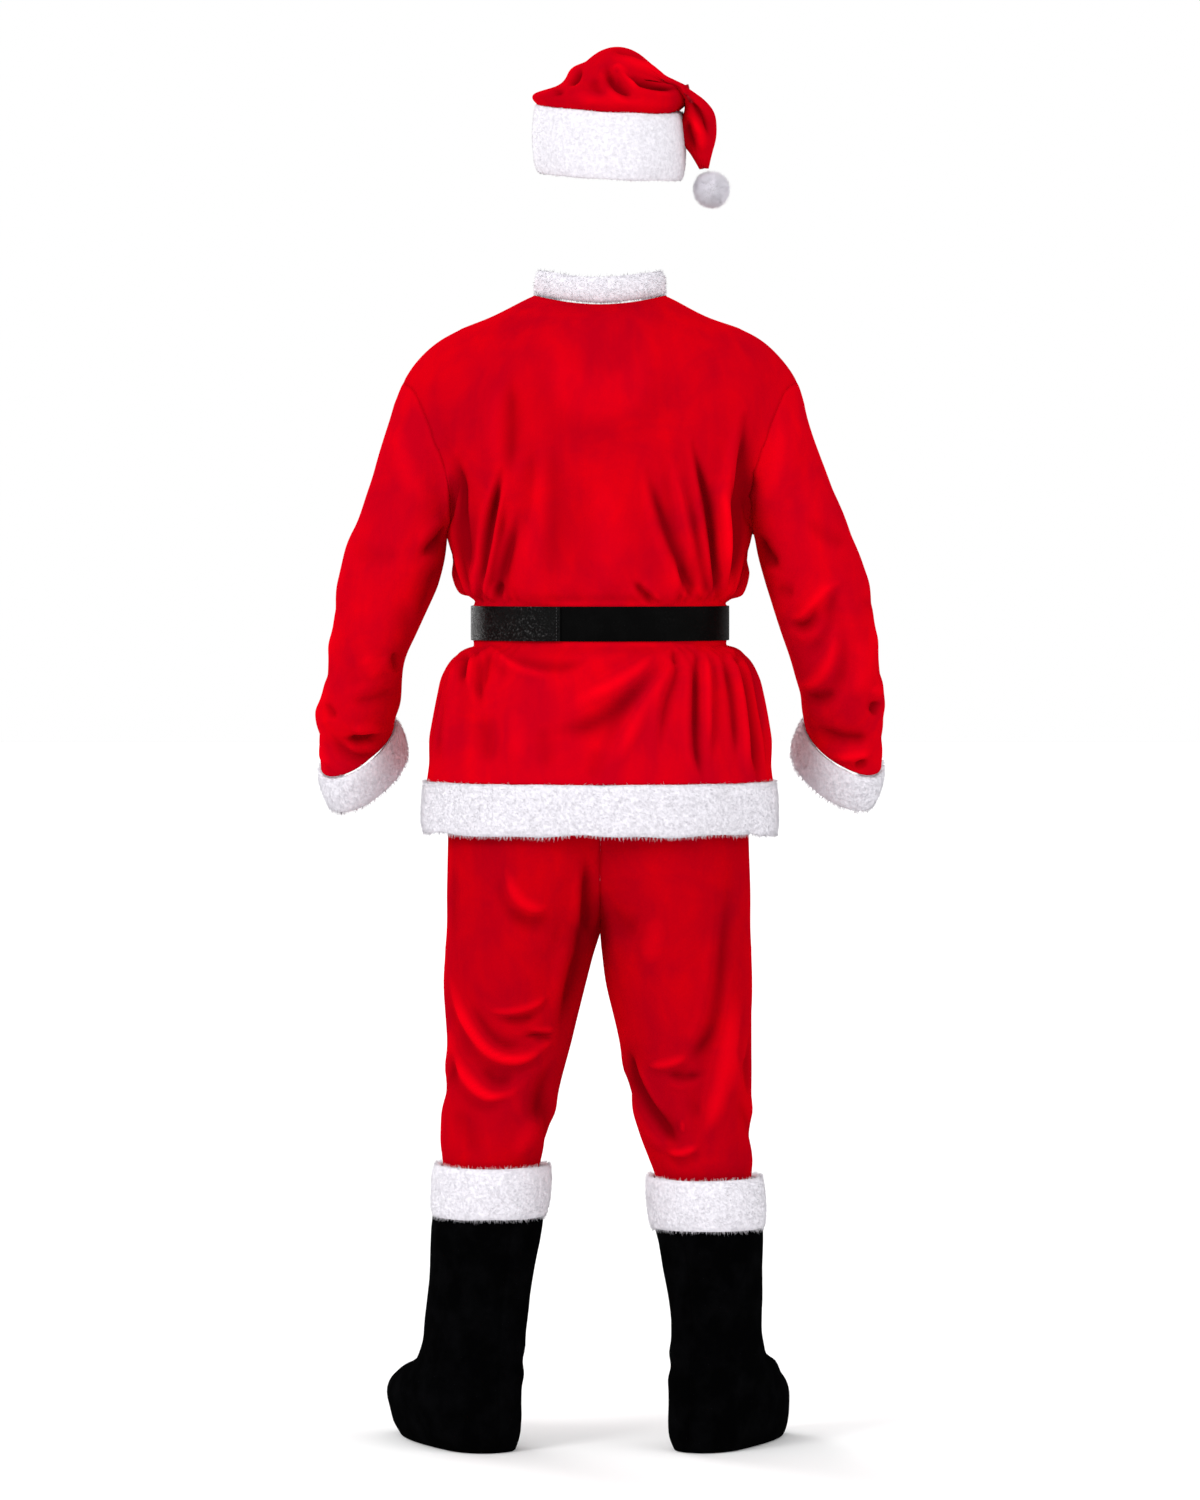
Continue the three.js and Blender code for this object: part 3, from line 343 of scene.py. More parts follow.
class SuitBelt(bpy.types.PropertyGroup):
    """Colours and stitching of the belt."""
    leather: FloatVectorProperty(name="Belt black", description="Colour of the belt",
                                 subtype="COLOR", size=3, min=0, max=1,
                                 default=(0.0006, 0.0006, 0.0006))
    metal: FloatVectorProperty(name="Buckle metal", description="Colour of the buckle",
                               subtype="COLOR", size=3, min=0, max=1,
                               default=(0.78, 0.58, 0.22))
    stitches: IntProperty(name="Stitches in a row", description="Stitches down the belt's lap",
                          default=11, min=3, max=30)


# ---- materials ---------------------------------------------------------------------------
class Finish:
    """A short hand for one material's nodes."""

    def __init__(self, name):
        self.material = bpy.data.materials.new(name)
        self.material.use_nodes = True
        self.tree = self.material.node_tree
        self.shader = self.tree.nodes["Principled BSDF"]

    def add(self, kind, values=None, **settings):
        node = self.tree.nodes.new("ShaderNode" + kind)
        for key, value in settings.items():
            setattr(node, key, value)
        for key, value in (values or {}).items():
            self.fill(node.inputs[key], value)
        return node

    def fill(self, socket, value):
        if isinstance(value, bpy.types.NodeSocket):
            self.tree.links.new(value, socket)
        elif socket.type == "RGBA" and len(value) == 3:
            socket.default_value = (*value, 1)
        else:
            socket.default_value = value

    def link(self, source, socket):
        self.tree.links.new(source, self.shader.inputs[socket])

    def set(self, **values):
        for key, value in values.items():
            self.fill(self.shader.inputs[key.replace("_", " ")], value)

    def place(self, scale=None):
        here = self.add("TexCoord").outputs["Object"]
        if scale is None:
            return here
        return self.add("Mapping", {"Vector": here, "Scale": scale}).outputs["Vector"]

    def noise(self, place, scale, detail=3, roughness=0.5, distortion=0.0):
        return self.add("TexNoise", {"Vector": place, "Scale": scale, "Detail": detail,
                                     "Roughness": roughness,
                                     "Distortion": distortion}).outputs["Fac"]

    def band(self, value, low, high, to_low=0.0, to_high=1.0):
        return self.add("MapRange", {"Value": value, "From Min": low, "From Max": high,
                                     "To Min": to_low, "To Max": to_high}).outputs["Result"]

    def mix(self, factor, first, second):
        node = self.add("Mix", data_type="RGBA")
        for index, value in ((0, factor), (6, first), (7, second)):
            self.fill(node.inputs[index], value)
        return node.outputs[2]

    def math(self, operation, first, second):
        return self.add("Math", {0: first, 1: second}, operation=operation).outputs[0]

    def attribute(self, name):
        return self.add("Attribute", attribute_name=name).outputs["Fac"]

    def bump(self, height, distance, strength=1.0):
        node = self.add("Bump", {"Height": height, "Distance": distance,
                                 "Strength": strength})
        self.link(node.outputs["Normal"], "Normal")


def scaled(colour, factor):
    return tuple(min(1.0, c * factor) for c in colour)


def velour_material(name, level):
    """Red velour: its nap lies in soft patches, with painted shade down in the folds and a
    painted highlight on them.
    """
    look = bpy.context.scene.suit_cloth
    red, shade = scaled(look.red, level), scaled(look.shade, level)
    f = Finish(name)
    place = f.place()
    patches = f.noise(place, 9.0, 4, 0.6, 0.6)
    streaks = f.noise(f.place((26, 26, 7)), 1.0, 3, 0.55, 0.4)
    nap = f.band(f.math("ADD", f.math("MULTIPLY", patches, 0.62),
                        f.math("MULTIPLY", streaks, 0.38)), 0.38, 0.62)
    colour = f.mix(nap, shade, red)
    fine = f.noise(place, 420.0, 2, 0.6)
    colour = f.mix(f.band(fine, 0.35, 0.75, 0.0, 0.18), colour, shade)
    painted_fold_light = f.attribute("painted_fold_light")
    # painted shade: down in the troughs the velour turns a dark red
    colour = f.mix(f.band(painted_fold_light, -0.06, -1.0, 0.0, 0.78), colour, scaled(shade, 0.36))
    # painted highlight: on the ridges the velour turns a brighter red
    colour = f.mix(f.band(painted_fold_light, 0.10, 1.0, 0.0, 0.75), colour, scaled(look.red, 1.30))
    f.link(colour, "Base Color")
    f.set(Roughness=0.8, Specular_IOR_Level=0.0, Sheen_Weight=0.3, Sheen_Roughness=0.3,
          Sheen_Tint=(1.0, 0.004, 0.008))
    pile = f.noise(place, 900.0, 2, 0.5)
    soft = f.noise(place, 60.0, 3, 0.5)
    f.bump(f.math("ADD", pile, f.math("MULTIPLY", soft, 2.0)), 0.0007, 0.5)
    return f.material


def reverse_material():
    """The knitted back of the velour."""
    f = Finish("velour_back")
    knit = f.noise(f.place(), 700.0, 2, 0.5)
    red = tuple(bpy.context.scene.suit_cloth.reverse)
    f.link(f.mix(f.band(knit, 0.3, 0.7), red, scaled(red, 0.7)), "Base Color")
    f.set(Roughness=0.9, Specular_IOR_Level=0.05)
    f.bump(knit, 0.0004, 0.5)
    return f.material


def plush_backing_material():
    """White knit and pile roots under the strands."""
    f = Finish("plush_backing")
    place = f.place()
    tufts = f.noise(place, 230.0, 3, 0.6)
    white = tuple(bpy.context.scene.suit_plush.white)
    f.link(f.mix(f.band(tufts, 0.35, 0.65), scaled(white, 0.8), white), "Base Color")
    f.set(Roughness=0.95, Specular_IOR_Level=0.1, Sheen_Weight=0.2, Sheen_Roughness=0.5)
    f.bump(f.math("ADD", tufts, f.noise(place, 55.0, 2, 0.5)), 0.0008, 0.5)
    return f.material


def plush_pile_material(name, level):
    """White pile strands, a little cooler and darker in soft patches."""
    f = Finish(name)
    clump = f.noise(f.place(), 38.0, 3, 0.55)
    white = scaled(bpy.context.scene.suit_plush.white, level)
    cool = (white[0] * 0.97, white[1] * 0.96, white[2] * 0.98)
    f.link(f.mix(f.band(clump, 0.34, 0.66), cool, white), "Base Color")
    f.set(Roughness=0.8, Specular_IOR_Level=0.2, Sheen_Weight=0.2, Sheen_Roughness=0.4)
    return f.material


def boot_material():
    """Deep black plush with a short, faintly lighter nap."""
    f = Finish("black_plush")
    place = f.place()
    black = tuple(bpy.context.scene.suit_cloth.black)
    f.link(f.mix(f.band(f.noise(place, 26.0, 4, 0.6), 0.42, 0.68), black,
                 scaled(black, 2.6)), "Base Color")
    f.set(Roughness=0.92, Specular_IOR_Level=0.0, Sheen_Weight=0.0015, Sheen_Roughness=0.5)
    f.bump(f.noise(place, 500.0, 3, 0.6), 0.0009, 0.6)
    return f.material


def elastic_material():
    """Red elastic with fine upright gathers."""
    f = Finish("red_elastic")
    ribs = f.noise(f.place((150, 150, 9)), 1.0, 2, 0.5)
    red = tuple(bpy.context.scene.suit_cloth.reverse)
    f.link(f.mix(f.band(ribs, 0.35, 0.65), red, scaled(red, 0.55)), "Base Color")
    f.set(Roughness=0.85, Specular_IOR_Level=0.1)
    f.bump(ribs, 0.0012, 0.7)
    return f.material


def leather_material(name, roughness, gloss, grain_depth, glint_grey):
    """Black coated leather cloth: pebble grain, slow waves, and painted glints: light specks in
    its colour that stand in for the grain's highlights.
    """
    f = Finish(name)
    place = f.place()
    pebble = f.add("TexVoronoi", {"Vector": place, "Scale": 620.0, "Randomness": 0.95},
                   feature="DISTANCE_TO_EDGE").outputs["Distance"]
    wear = f.noise(place, 24.0, 4, 0.6)
    black = tuple(bpy.context.scene.suit_belt.leather)
    colour = f.mix(f.band(wear, 0.45, 0.8), black, scaled(black, 3.2))
    # painted glints: light grey specks, in patches, that stand in for the highlights on the grain
    painted_glints = f.math("MULTIPLY", f.band(f.noise(place, 330.0, 2, 0.7), 0.54, 0.74),
                    f.band(f.noise(f.place((14, 14, 40)), 1.0, 2, 0.5), 0.44, 0.60))
    f.link(f.mix(painted_glints, colour, (glint_grey,) * 3), "Base Color")
    f.link(f.band(wear, 0.3, 0.75, roughness, roughness + 0.16), "Roughness")
    f.set(Specular_IOR_Level=gloss)
    slow = f.noise(f.place((18, 18, 90)), 1.0, 3, 0.5)
    f.bump(f.math("ADD", f.band(pebble, 0.0, 0.28), f.math("MULTIPLY", slow, 1.4)),
           grain_depth, 0.8)
    return f.material


def plain_material(name, colour, roughness, metallic=0.0):
    """A smooth finish with faint wear."""
    f = Finish(name)
    worn = f.noise(f.place(), 90.0, 4, 0.6)
    f.link(f.mix(f.band(worn, 0.4, 0.7, 0.0, 0.2), tuple(colour), scaled(colour, 0.6)),
           "Base Color")
    f.link(f.band(worn, 0.3, 0.7, roughness, min(1.0, roughness + 0.12)), "Roughness")
    f.set(Metallic=metallic)
    f.bump(worn, 0.0001, 0.3)
    return f.material


MAKERS = {
    "velour": lambda: velour_material("red_velour", 1.0),
    "deep_velour": lambda: velour_material("deep_red_velour", 0.78),
    "hat_velour": lambda: velour_material("hat_red_velour", 0.92),
    "reverse": reverse_material,
    "backing": plush_backing_material,
    "pile": lambda: plush_pile_material("plush_pile", 1.0),
    # the pompom's pile is painted 1.25 times whiter than the trims', a painted lightening against
    # the shade its dense strands cast on each other
    "lightened_ball_pile": lambda: plush_pile_material("pompom_pile", 1.25),
    "boot": boot_material,
    "elastic": elastic_material,
    # the last number is the grey of the painted glints
    "glossy": lambda: leather_material("belt_glossy", 0.22, 0.06, 0.0004, 0.045),
    "matt": lambda: leather_material("belt_matt", 0.45, 0.02, 0.00016, 0.004),
    "thread": lambda: plain_material("belt_thread", (0.012, 0.012, 0.013), 0.6),
    "metal": lambda: plain_material("buckle_metal",
                                    tuple(bpy.context.scene.suit_belt.metal), 0.24, 1.0),
}
_made = {}


def finish(name):
    if name not in _made:
        _made[name] = MAKERS[name]()
    return _made[name]


# ---- mesh helpers ------------------------------------------------------------------------
def link_object(name, mesh):
    obj = bpy.data.objects.new(name, mesh)
    bpy.context.scene.collection.objects.link(obj)
    return obj


def smooth(t):
    t = np.clip(t, 0.0, 1.0)
    return t * t * (3 - 2 * t)


def as_mesh(bm, name):
    mesh = bpy.data.meshes.new(name)
    bm.to_mesh(mesh)
    bm.free()
    return mesh


def merged_copy(name):
    """A bmesh of a CAD node's triangles, sewn into one closed surface."""
    bm = bmesh.new()
    bm.from_mesh(NODES[name].data)
    bmesh.ops.remove_doubles(bm, verts=bm.verts, dist=2e-5)
    return bm


def to_quads(bm):
    bmesh.ops.join_triangles(bm, faces=bm.faces, angle_face_threshold=math.pi,
                             angle_shape_threshold=math.pi)


def keep_outer_face(bm, narrowest=0.0):
    """Leaves only the outer of a wall's two faces, without strips under the narrowest width."""
    unseen = set(bm.faces)
    parts = []
    while unseen:
        part = [unseen.pop()]
        for face in part:
            for edge in face.edges:
                if len(edge.link_faces) != 2 or edge.calc_face_angle(math.pi) > SHARP:
                    continue
                for other in edge.link_faces:
                    if other in unseen:
                        unseen.discard(other)
                        part.append(other)
        parts.append(part)
    keep = set(max(parts, key=lambda part: sum(face.calc_area() for face in part)))
    keep = {face for face in keep
            if 2 * face.calc_area() > narrowest * max(e.calc_length() for e in face.edges)}
    bmesh.ops.delete(bm, geom=[f for f in bm.faces if f not in keep], context="FACES")


def sewn_skin(names, gap):
    """The outer faces of several walls in one mesh, each with its own material index."""
    whole = bmesh.new()
    for index, name in enumerate(names):
        part = merged_copy(name)
        keep_outer_face(part, RIM)
        to_quads(part)
        for face in part.faces:
            face.material_index = index
        mesh = as_mesh(part, "part")
        whole.from_mesh(mesh)
        bpy.data.meshes.remove(mesh)
    bmesh.ops.remove_doubles(whole, verts=whole.verts, dist=gap)
    bmesh.ops.holes_fill(whole, edges=whole.edges, sides=4)
    mesh = as_mesh(whole, "skin")
    for _ in names:
        mesh.materials.append(None)
    return mesh


def subdivided(mesh, levels):
    obj = link_object("subdividing", mesh)
    modifier = obj.modifiers.new("Subdivision", "SUBSURF")
    modifier.levels = modifier.render_levels = levels
    bpy.context.view_layer.update()
    done = bpy.data.meshes.new_from_object(
        obj.evaluated_get(bpy.context.evaluated_depsgraph_get()))
    bpy.data.objects.remove(obj)
    bpy.data.meshes.remove(mesh)
    return done


def through_own_points(mesh, levels, rounds=2):
    """A subdivided mesh whose surface passes through the points of the coarse one."""
    goal = points_of(mesh)
    for _ in range(rounds):
        trial = subdivided(mesh.copy(), 2)
        set_points(mesh, points_of(mesh) + goal - points_of(trial)[:len(goal)])
        bpy.data.meshes.remove(trial)
    return subdivided(mesh, levels)


def refined(mesh, pieces, upright, low, high):
    """Halves the upright or the level edges of some pieces between two heights."""
    bm = bmesh.new()
    bm.from_mesh(mesh)
    chosen = []
    for edge in bm.edges:
        a, b = (v.co for v in edge.verts)
        height = (a.z + b.z) / 2 / MM + NECK
        if (low < height < high and (abs(b.z - a.z) > 0.55 * (b - a).length) == upright
                and all(f.material_index in pieces for f in edge.link_faces)):
            chosen.append(edge)
    bmesh.ops.subdivide_edges(bm, edges=chosen, cuts=1, use_grid_fill=True)
    materials = len(mesh.materials)
    bpy.data.meshes.remove(mesh)
    mesh = as_mesh(bm, "skin")
    for _ in range(materials):
        mesh.materials.append(None)
    return mesh


def points_of(mesh):
    points = np.empty(len(mesh.vertices) * 3)
    mesh.vertices.foreach_get("co", points)
    return points.reshape(-1, 3)


def normals_of(mesh):
    normals = np.empty(len(mesh.vertices) * 3)
    mesh.vertex_normals.foreach_get("vector", normals)
    return normals.reshape(-1, 3)


def set_points(mesh, points):
    mesh.vertices.foreach_set("co", np.ascontiguousarray(points).ravel())
    mesh.update()


def owners(mesh, count):
    """For each piece, which vertices it has."""
    found = np.zeros((count, len(mesh.vertices)), bool)
    loops = np.empty(len(mesh.loops), np.int32)
    mesh.loops.foreach_get("vertex_index", loops)
    totals = np.empty(len(mesh.polygons), np.int32)
    mesh.polygons.foreach_get("loop_total", totals)
    index = np.empty(len(mesh.polygons), np.int32)
    mesh.polygons.foreach_get("material_index", index)
    owner = np.repeat(index, totals)
    for piece in range(count):
        found[piece, loops[owner == piece]] = True
    return found


def distance_to(points, targets, reach):
    """Distance from each point to the nearest target, up to a reach."""
    tree = KDTree(len(targets))
    for i, target in enumerate(targets):
        tree.insert(target, i)
    tree.balance()
    low, high = targets.min(0) - reach, targets.max(0) + reach
    out = np.full(len(points), reach)
    for i in np.flatnonzero(np.all((points > low) & (points < high), axis=1)):
        out[i] = min(reach, tree.find(points[i])[2])
    return out


def heights_of(points):
    return points[:, 2] / MM + NECK


# ---- creases on cloth --------------------------------------------------------------------
def curve_through(path, steps=6):
    """Points of a smooth curve through a path's points."""
    p = np.array(path, float)
    ends = np.vstack([2 * p[0] - p[1], p, 2 * p[-1] - p[-2]])
    out = []
    for a, b, c, d in zip(ends, ends[1:], ends[2:], ends[3:]):
        for t in np.arange(steps) / steps:
            out.append(0.5 * (2 * b + (c - a) * t + (2 * a - 5 * b + 4 * c - d) * t * t
                              + (3 * b - a - 3 * c + d) * t ** 3))
    out.append(p[-1])
    return np.array(out)


def crease(chart, path, half_width, height, lip=0.35):
    """Height of one soft crease at points of a flat chart, with a lip on one side of it."""
    line = curve_through(path)
    reach = 4 * half_width
    near = np.all((chart > line.min(0) - reach) & (chart < line.max(0) + reach), axis=1)
    out = np.zeros(len(chart))
    spots = chart[near]
    if not len(spots):
        return out
    best, side, along = np.full(len(spots), 1e9), np.zeros(len(spots)), np.zeros(len(spots))
    for i, (a, b) in enumerate(zip(line, line[1:])):
        step = b - a
        t = np.clip(((spots - a) @ step) / (step @ step), 0, 1)
        off = spots - a - t[:, None] * step
        away = np.hypot(off[:, 0], off[:, 1])
        closer = away < best
        best[closer] = away[closer]
        side[closer] = np.sign(step[0] * off[:, 1] - step[1] * off[:, 0])[closer]
        along[closer] = ((i + t) / (len(line) - 1))[closer]
    taper = smooth(along / 0.3) * smooth((1 - along) / 0.3)
    width = half_width * (0.65 + 0.5 * np.sin(np.pi * along))
    core = np.exp(-(best / width) ** (1.5 if height < 0 else 2.0))
    beside = np.exp(-((best * side - 2 * width) / (1.1 * width)) ** 2)
    out[near] = height * (core - lip * beside) * (0.12 + 0.88 * taper)
    return out


def crease_rows(piece, seed):
    """A piece's creases on its back and sides, and for the front the back's, varied."""
    random = np.random.default_rng(seed)
    rows = [("back", *row) for row in CREASES[piece]]
    rows += SIDE_CREASES.get(piece, ())
    for half_width, height, *path in CREASES[piece]:
        move = random.normal(0, (9, 14))
        shrink = random.uniform(0.95, 1.02)
        turned = [(x * shrink + move[0], h + move[1]) for x, h in path]
        rows.append(("front", half_width * random.uniform(0.9, 1.2),
                     height * random.uniform(0.6, 1.0), *turned))
    return rows


def crease_field(points, normals, rows):
    """Height of all the creases, each laid on the cloth that faces its way."""
    height = heights_of(points)
    across = np.column_stack([points[:, 0] / MM, height])
    deep = np.column_stack([points[:, 1] / MM, height])
    views = {"back": (across, normals[:, 1]), "front": (across, -normals[:, 1]),
             "left": (deep, normals[:, 0]), "right": (deep, -normals[:, 0])}
    total = np.zeros(len(points))
    for view, half_width, depth, *path in rows:
        chart, facing = views[view]
        total += crease(chart, path, half_width, depth) * smooth((facing - 0.02) / 0.4)
    return total * bpy.context.scene.suit_cloth.crease


def wander(points, scale, amount, seed):
    """A slow uneven swell, so that no broad face is perfectly even."""
    shift = Vector((seed * 3.1, seed * 1.7, seed * 2.3))
    return np.array([noise.noise(Vector(p) * scale + shift) for p in points]) * amount


def gathers(points):
    """Upright gathers above and below the belt, uneven in place, length and depth."""
    random = np.random.default_rng(SEED)
    angle = np.degrees(np.arctan2(points[:, 1] / 0.118, points[:, 0] / 0.163)) % 360
    height = heights_of(points)
    total = np.zeros(len(points))
    for first, last, spacing, above, below, depth in GATHERS:
        at = first + random.uniform(0, spacing)
        while at < last:
            sign = random.choice((-1.0, -1.0, 0.8))
            width = spacing * random.uniform(0.22, 0.42)
            for edge, way, reach in ((BELT_HIGH, 1, above), (BELT_LOW, -1, below)):
                length = reach * random.uniform(0.35, 1.1)
                lean = random.uniform(-0.05, 0.05)
                size = sign * depth * random.uniform(0.5, 1.2)
                up = (height - edge) * way
                off = ((angle - at - lean * up)
                       / (width * (1 + 0.8 * np.clip(up / length, 0, 1))))
                total += (size * np.exp(-off ** 2) * smooth(up / 7)
                          * smooth((1 - up / length) / 0.8))
            at += spacing * random.uniform(0.6, 1.5)
    return total


# ---- cloth panels ------------------------------------------------------------------------
def swollen(mesh, heights, folds=None):
    """Moves a skin out by a height in millimetres at each vertex, and notes its folds.

    The attribute that it writes is -1 deep in a trough and 1 on a high ridge; from it the velour
    paints shade into the troughs and a highlight onto the ridges.
    """
    set_points(mesh, points_of(mesh) + normals_of(mesh) * heights[:, None] * MM)
    if folds is not None:
        painted_fold_light = mesh.attributes.new("painted_fold_light", "FLOAT", "POINT")
        painted_fold_light.data.foreach_set("value", np.clip(folds / FULL_FOLD, -1, 1).astype(np.float32))


def drawn_in(bm, inset):
    """Draws the border of a panel in a little, so that it stays clear of its neighbour."""
    moves = {}
    for vert in bm.verts:
        if not vert.is_boundary:
            continue
        inner = [e.other_vert(vert).co for e in vert.link_edges if not e.is_boundary]
        if inner:
            middle = sum(inner, Vector()) / len(inner)
            moves[vert] = (middle - vert.co).normalized() * inset
    for vert, move in moves.items():
        vert.co += move


def cut_panel(mesh, index):
    """One panel of a sewn skin."""
    bm = bmesh.new()
    bm.from_mesh(mesh)
    bmesh.ops.delete(bm, geom=[f for f in bm.faces if f.material_index != index],
                     context="FACES")
    drawn_in(bm, 0.02 * MM)
    for face in bm.faces:
        face.material_index = 0
        face.smooth = True
    return as_mesh(bm, "panel")


def cloth_piece(name, mesh, outside, inside, thickness):
    """A finished panel: a thin shell with the cloth's back on its inner side."""
    mesh.materials.clear()
    mesh.materials.append(finish(outside))
    mesh.materials.append(finish(inside))
    piece = link_object(name, mesh)
    shell = piece.modifiers.new("Thickness", "SOLIDIFY")
    shell.thickness = thickness
    shell.offset = -1
    shell.use_rim = True
    shell.material_offset = 1
    declare(piece, name.removesuffix("_cloth"))
    return piece


def declare(piece, node):
    """Rides on the suit and stands for its CAD node, which it hides."""
    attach(piece, "root")
    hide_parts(node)


def seam_points(mesh, member):
    return points_of(mesh)[member.sum(0) > 1]


def jacket_heights(mesh):
    """How far each point of the jacket stands off its plain form."""
    points, normals = points_of(mesh), normals_of(mesh)
    member = owners(mesh, len(JACKET))
    height = heights_of(points)
    body = member[:3].any(0)
    total = np.zeros(len(points))
    off_seam = {}
    for index, sleeve in ((3, "sleeve_left"), (4, "sleeve_right")):
        armhole = points[member[index] & body]
        off_seam[index] = distance_to(points, armhole, 0.03) / (12 * MM)
        own = np.where(member[index] & ~body, smooth(off_seam[index]), 0.0)
        rows = crease_rows(sleeve, SEED + index)
        total += crease_field(points, normals, rows) * own * 0.8
    over = np.ones(len(points))
    for index in (3, 4):
        only = member[index] & ~body
        over[only] = 1 - smooth(off_seam[index][only])
    drape = crease_field(points, normals, crease_rows("body", SEED + 1)) + gathers(points)
    drape *= over * (0.72 + 0.28 * smooth((height - BELT_LOW) / 30))
    under_strip = (normals[:, 1] < 0) & body
    clear = np.where(under_strip, smooth((np.abs(points[:, 0]) / MM - STRIP_HALF) / 14), 1.0)
    total += drape * clear
    # these values drive the velour's painted shade and highlight; 2 mm less over the body above
    # the belt makes the velour there a little darker
    folds = total - 2.0 * smooth((height - 1080) / 60) * body
    total += wander(points, 14, 1.5, 3) * clear
    seams = distance_to(points, seam_points(mesh, member), 0.012) / MM
    total -= 0.5 * np.exp(-(seams / 2.2) ** 2)
    total -= belted_in(normals, height) * body
    waist = np.where(body, smooth((np.abs(height - (BELT_LOW + BELT_HIGH) / 2) - 23) / 9), 1.0)
    total = np.where(total > 0, total * waist, np.maximum(total, -2.5 - 15 * waist))
    foot = np.where(body, 0.3 + 0.7 * smooth((height - HEM_TOP) / 35), 1.0)
    return total * foot * edge_fade(mesh, 8 * MM), folds


def belted_in(normals, height):
    """How much closer the sides of the jacket lie just above and just below the belt."""
    side = smooth((np.abs(normals[:, 0]) - 0.25) / 0.5)
    above = 4 * np.exp(-(np.maximum(height - BELT_HIGH, 0) / 14) ** 2) * (height > BELT_HIGH)
    below = 5 * np.exp(-(np.maximum(BELT_LOW - height, 0) / 26) ** 2) * (height < BELT_LOW)
    return side * (above + below)


def eased(mesh, chosen, rounds):
    """Smooths some of a mesh's vertices in place."""
    bm = bmesh.new()
    bm.from_mesh(mesh)
    verts = [v for v, wanted in zip(bm.verts, chosen) if wanted and not v.is_boundary]
    for _ in range(rounds):
        bmesh.ops.smooth_vert(bm, verts=verts, factor=0.5, use_axis_x=True,
                              use_axis_y=True, use_axis_z=True)
    bm.to_mesh(mesh)
    bm.free()


def edge_fade(mesh, reach):
    """0.3 on a skin's open edges, rising to 1, so that trims still meet them."""
    bm = bmesh.new()
    bm.from_mesh(mesh)
    border = np.array([v.co for v in bm.verts if v.is_boundary])
    bm.free()
    return 0.3 + 0.7 * smooth(distance_to(points_of(mesh), border, reach) / reach)


class SUIT_OT_jacket(bpy.types.Operator):
    """Make the jacket's back, fronts and sleeves"""
    bl_idname = "suit.jacket"
    bl_label = "Jacket"

    def execute(self, context):
        skin = through_own_points(sewn_skin(JACKET, 1.4 * MM), 3)
        skin = refined(skin, (0,), False, HEM_TOP, 1300)
        skin = refined(skin, (3, 4), True, HEM_TOP, 1130)
        member = owners(skin, len(JACKET))
        seam = seam_points(skin, member)
        seam = seam[(heights_of(seam) > 1300) & (np.abs(seam[:, 0]) > 0.2)]
        eased(skin, distance_to(points_of(skin), seam, 0.03) < 0.026, 14)
        height = heights_of(points_of(skin))
        eased(skin, member[3:].any(0) & (height > 850) & (height < 1170), 12)
        swollen(skin, *jacket_heights(skin))
        for index, name in enumerate(JACKET):
            cloth_piece(name + "_cloth", cut_panel(skin, index), "velour", "reverse",
                        context.scene.suit_cloth.thickness)
        return {"FINISHED"}


class SUIT_OT_trousers(bpy.types.Operator):
    """Make the trousers and their elastic waistband"""
    bl_idname = "suit.trousers"
    bl_label = "Trousers"

    def execute(self, context):
        skin = through_own_points(sewn_skin(TROUSERS, 2.4 * MM), 3)
        skin = refined(skin, (0, 2), True, 380, 620)
        height = heights_of(points_of(skin))
        eased(skin, (height > 372) & (height < 640), 24)
        points, normals = points_of(skin), normals_of(skin)
        member = owners(skin, len(TROUSERS))
        folds = crease_field(points, normals, crease_rows("trousers", SEED + 7))
        total = folds * 0.6 + wander(points, 12, 1.6, 5)
        seams = distance_to(points, seam_points(skin, member), 0.012) / MM
        total -= 0.9 * np.exp(-(seams / 2.2) ** 2)
        total *= edge_fade(skin, 10 * MM) * (1 - 0.8 * smooth((heights_of(points) - 860) / 60))
        swollen(skin, total, folds * 0.8)
        self.raise_crotch(skin)
        for index, name in enumerate(TROUSERS):
            cloth_piece(name + "_cloth", cut_panel(skin, index), "deep_velour", "reverse",
                        context.scene.suit_cloth.thickness)
        self.waistband()
        return {"FINISHED"}

    def raise_crotch(self, skin):
        """Carries the cloth between the legs up to a narrow arch."""
        points = points_of(skin)
        height = heights_of(points)
        arch = np.exp(-((points[:, 0] / MM - 4) / 12) ** 2)
        points[:, 2] += (5 * MM * arch * smooth((690 - height) / 40)
                         * smooth((height - 590) / 40))
        set_points(skin, points)

    def waistband(self):
        bm = merged_copy("trousers_waistband")
        to_quads(bm)
        mesh = subdivided(as_mesh(bm, "band"), 2)
        points = points_of(mesh)
        angle = np.arctan2(points[:, 1], points[:, 0])
        ripple = 0.5 * np.sin(angle * 74 + 1.5 * np.sin(angle * 9)) * MM
        set_points(mesh, points + normals_of(mesh) * ripple[:, None])
        mesh.materials.append(finish("elastic"))
        piece = link_object("trousers_waistband_elastic", mesh)
        shade_smooth(mesh)
        declare(piece, "trousers_waistband")


def shade_smooth(mesh):
    mesh.polygons.foreach_set("use_smooth", np.ones(len(mesh.polygons), bool))
    mesh.update()


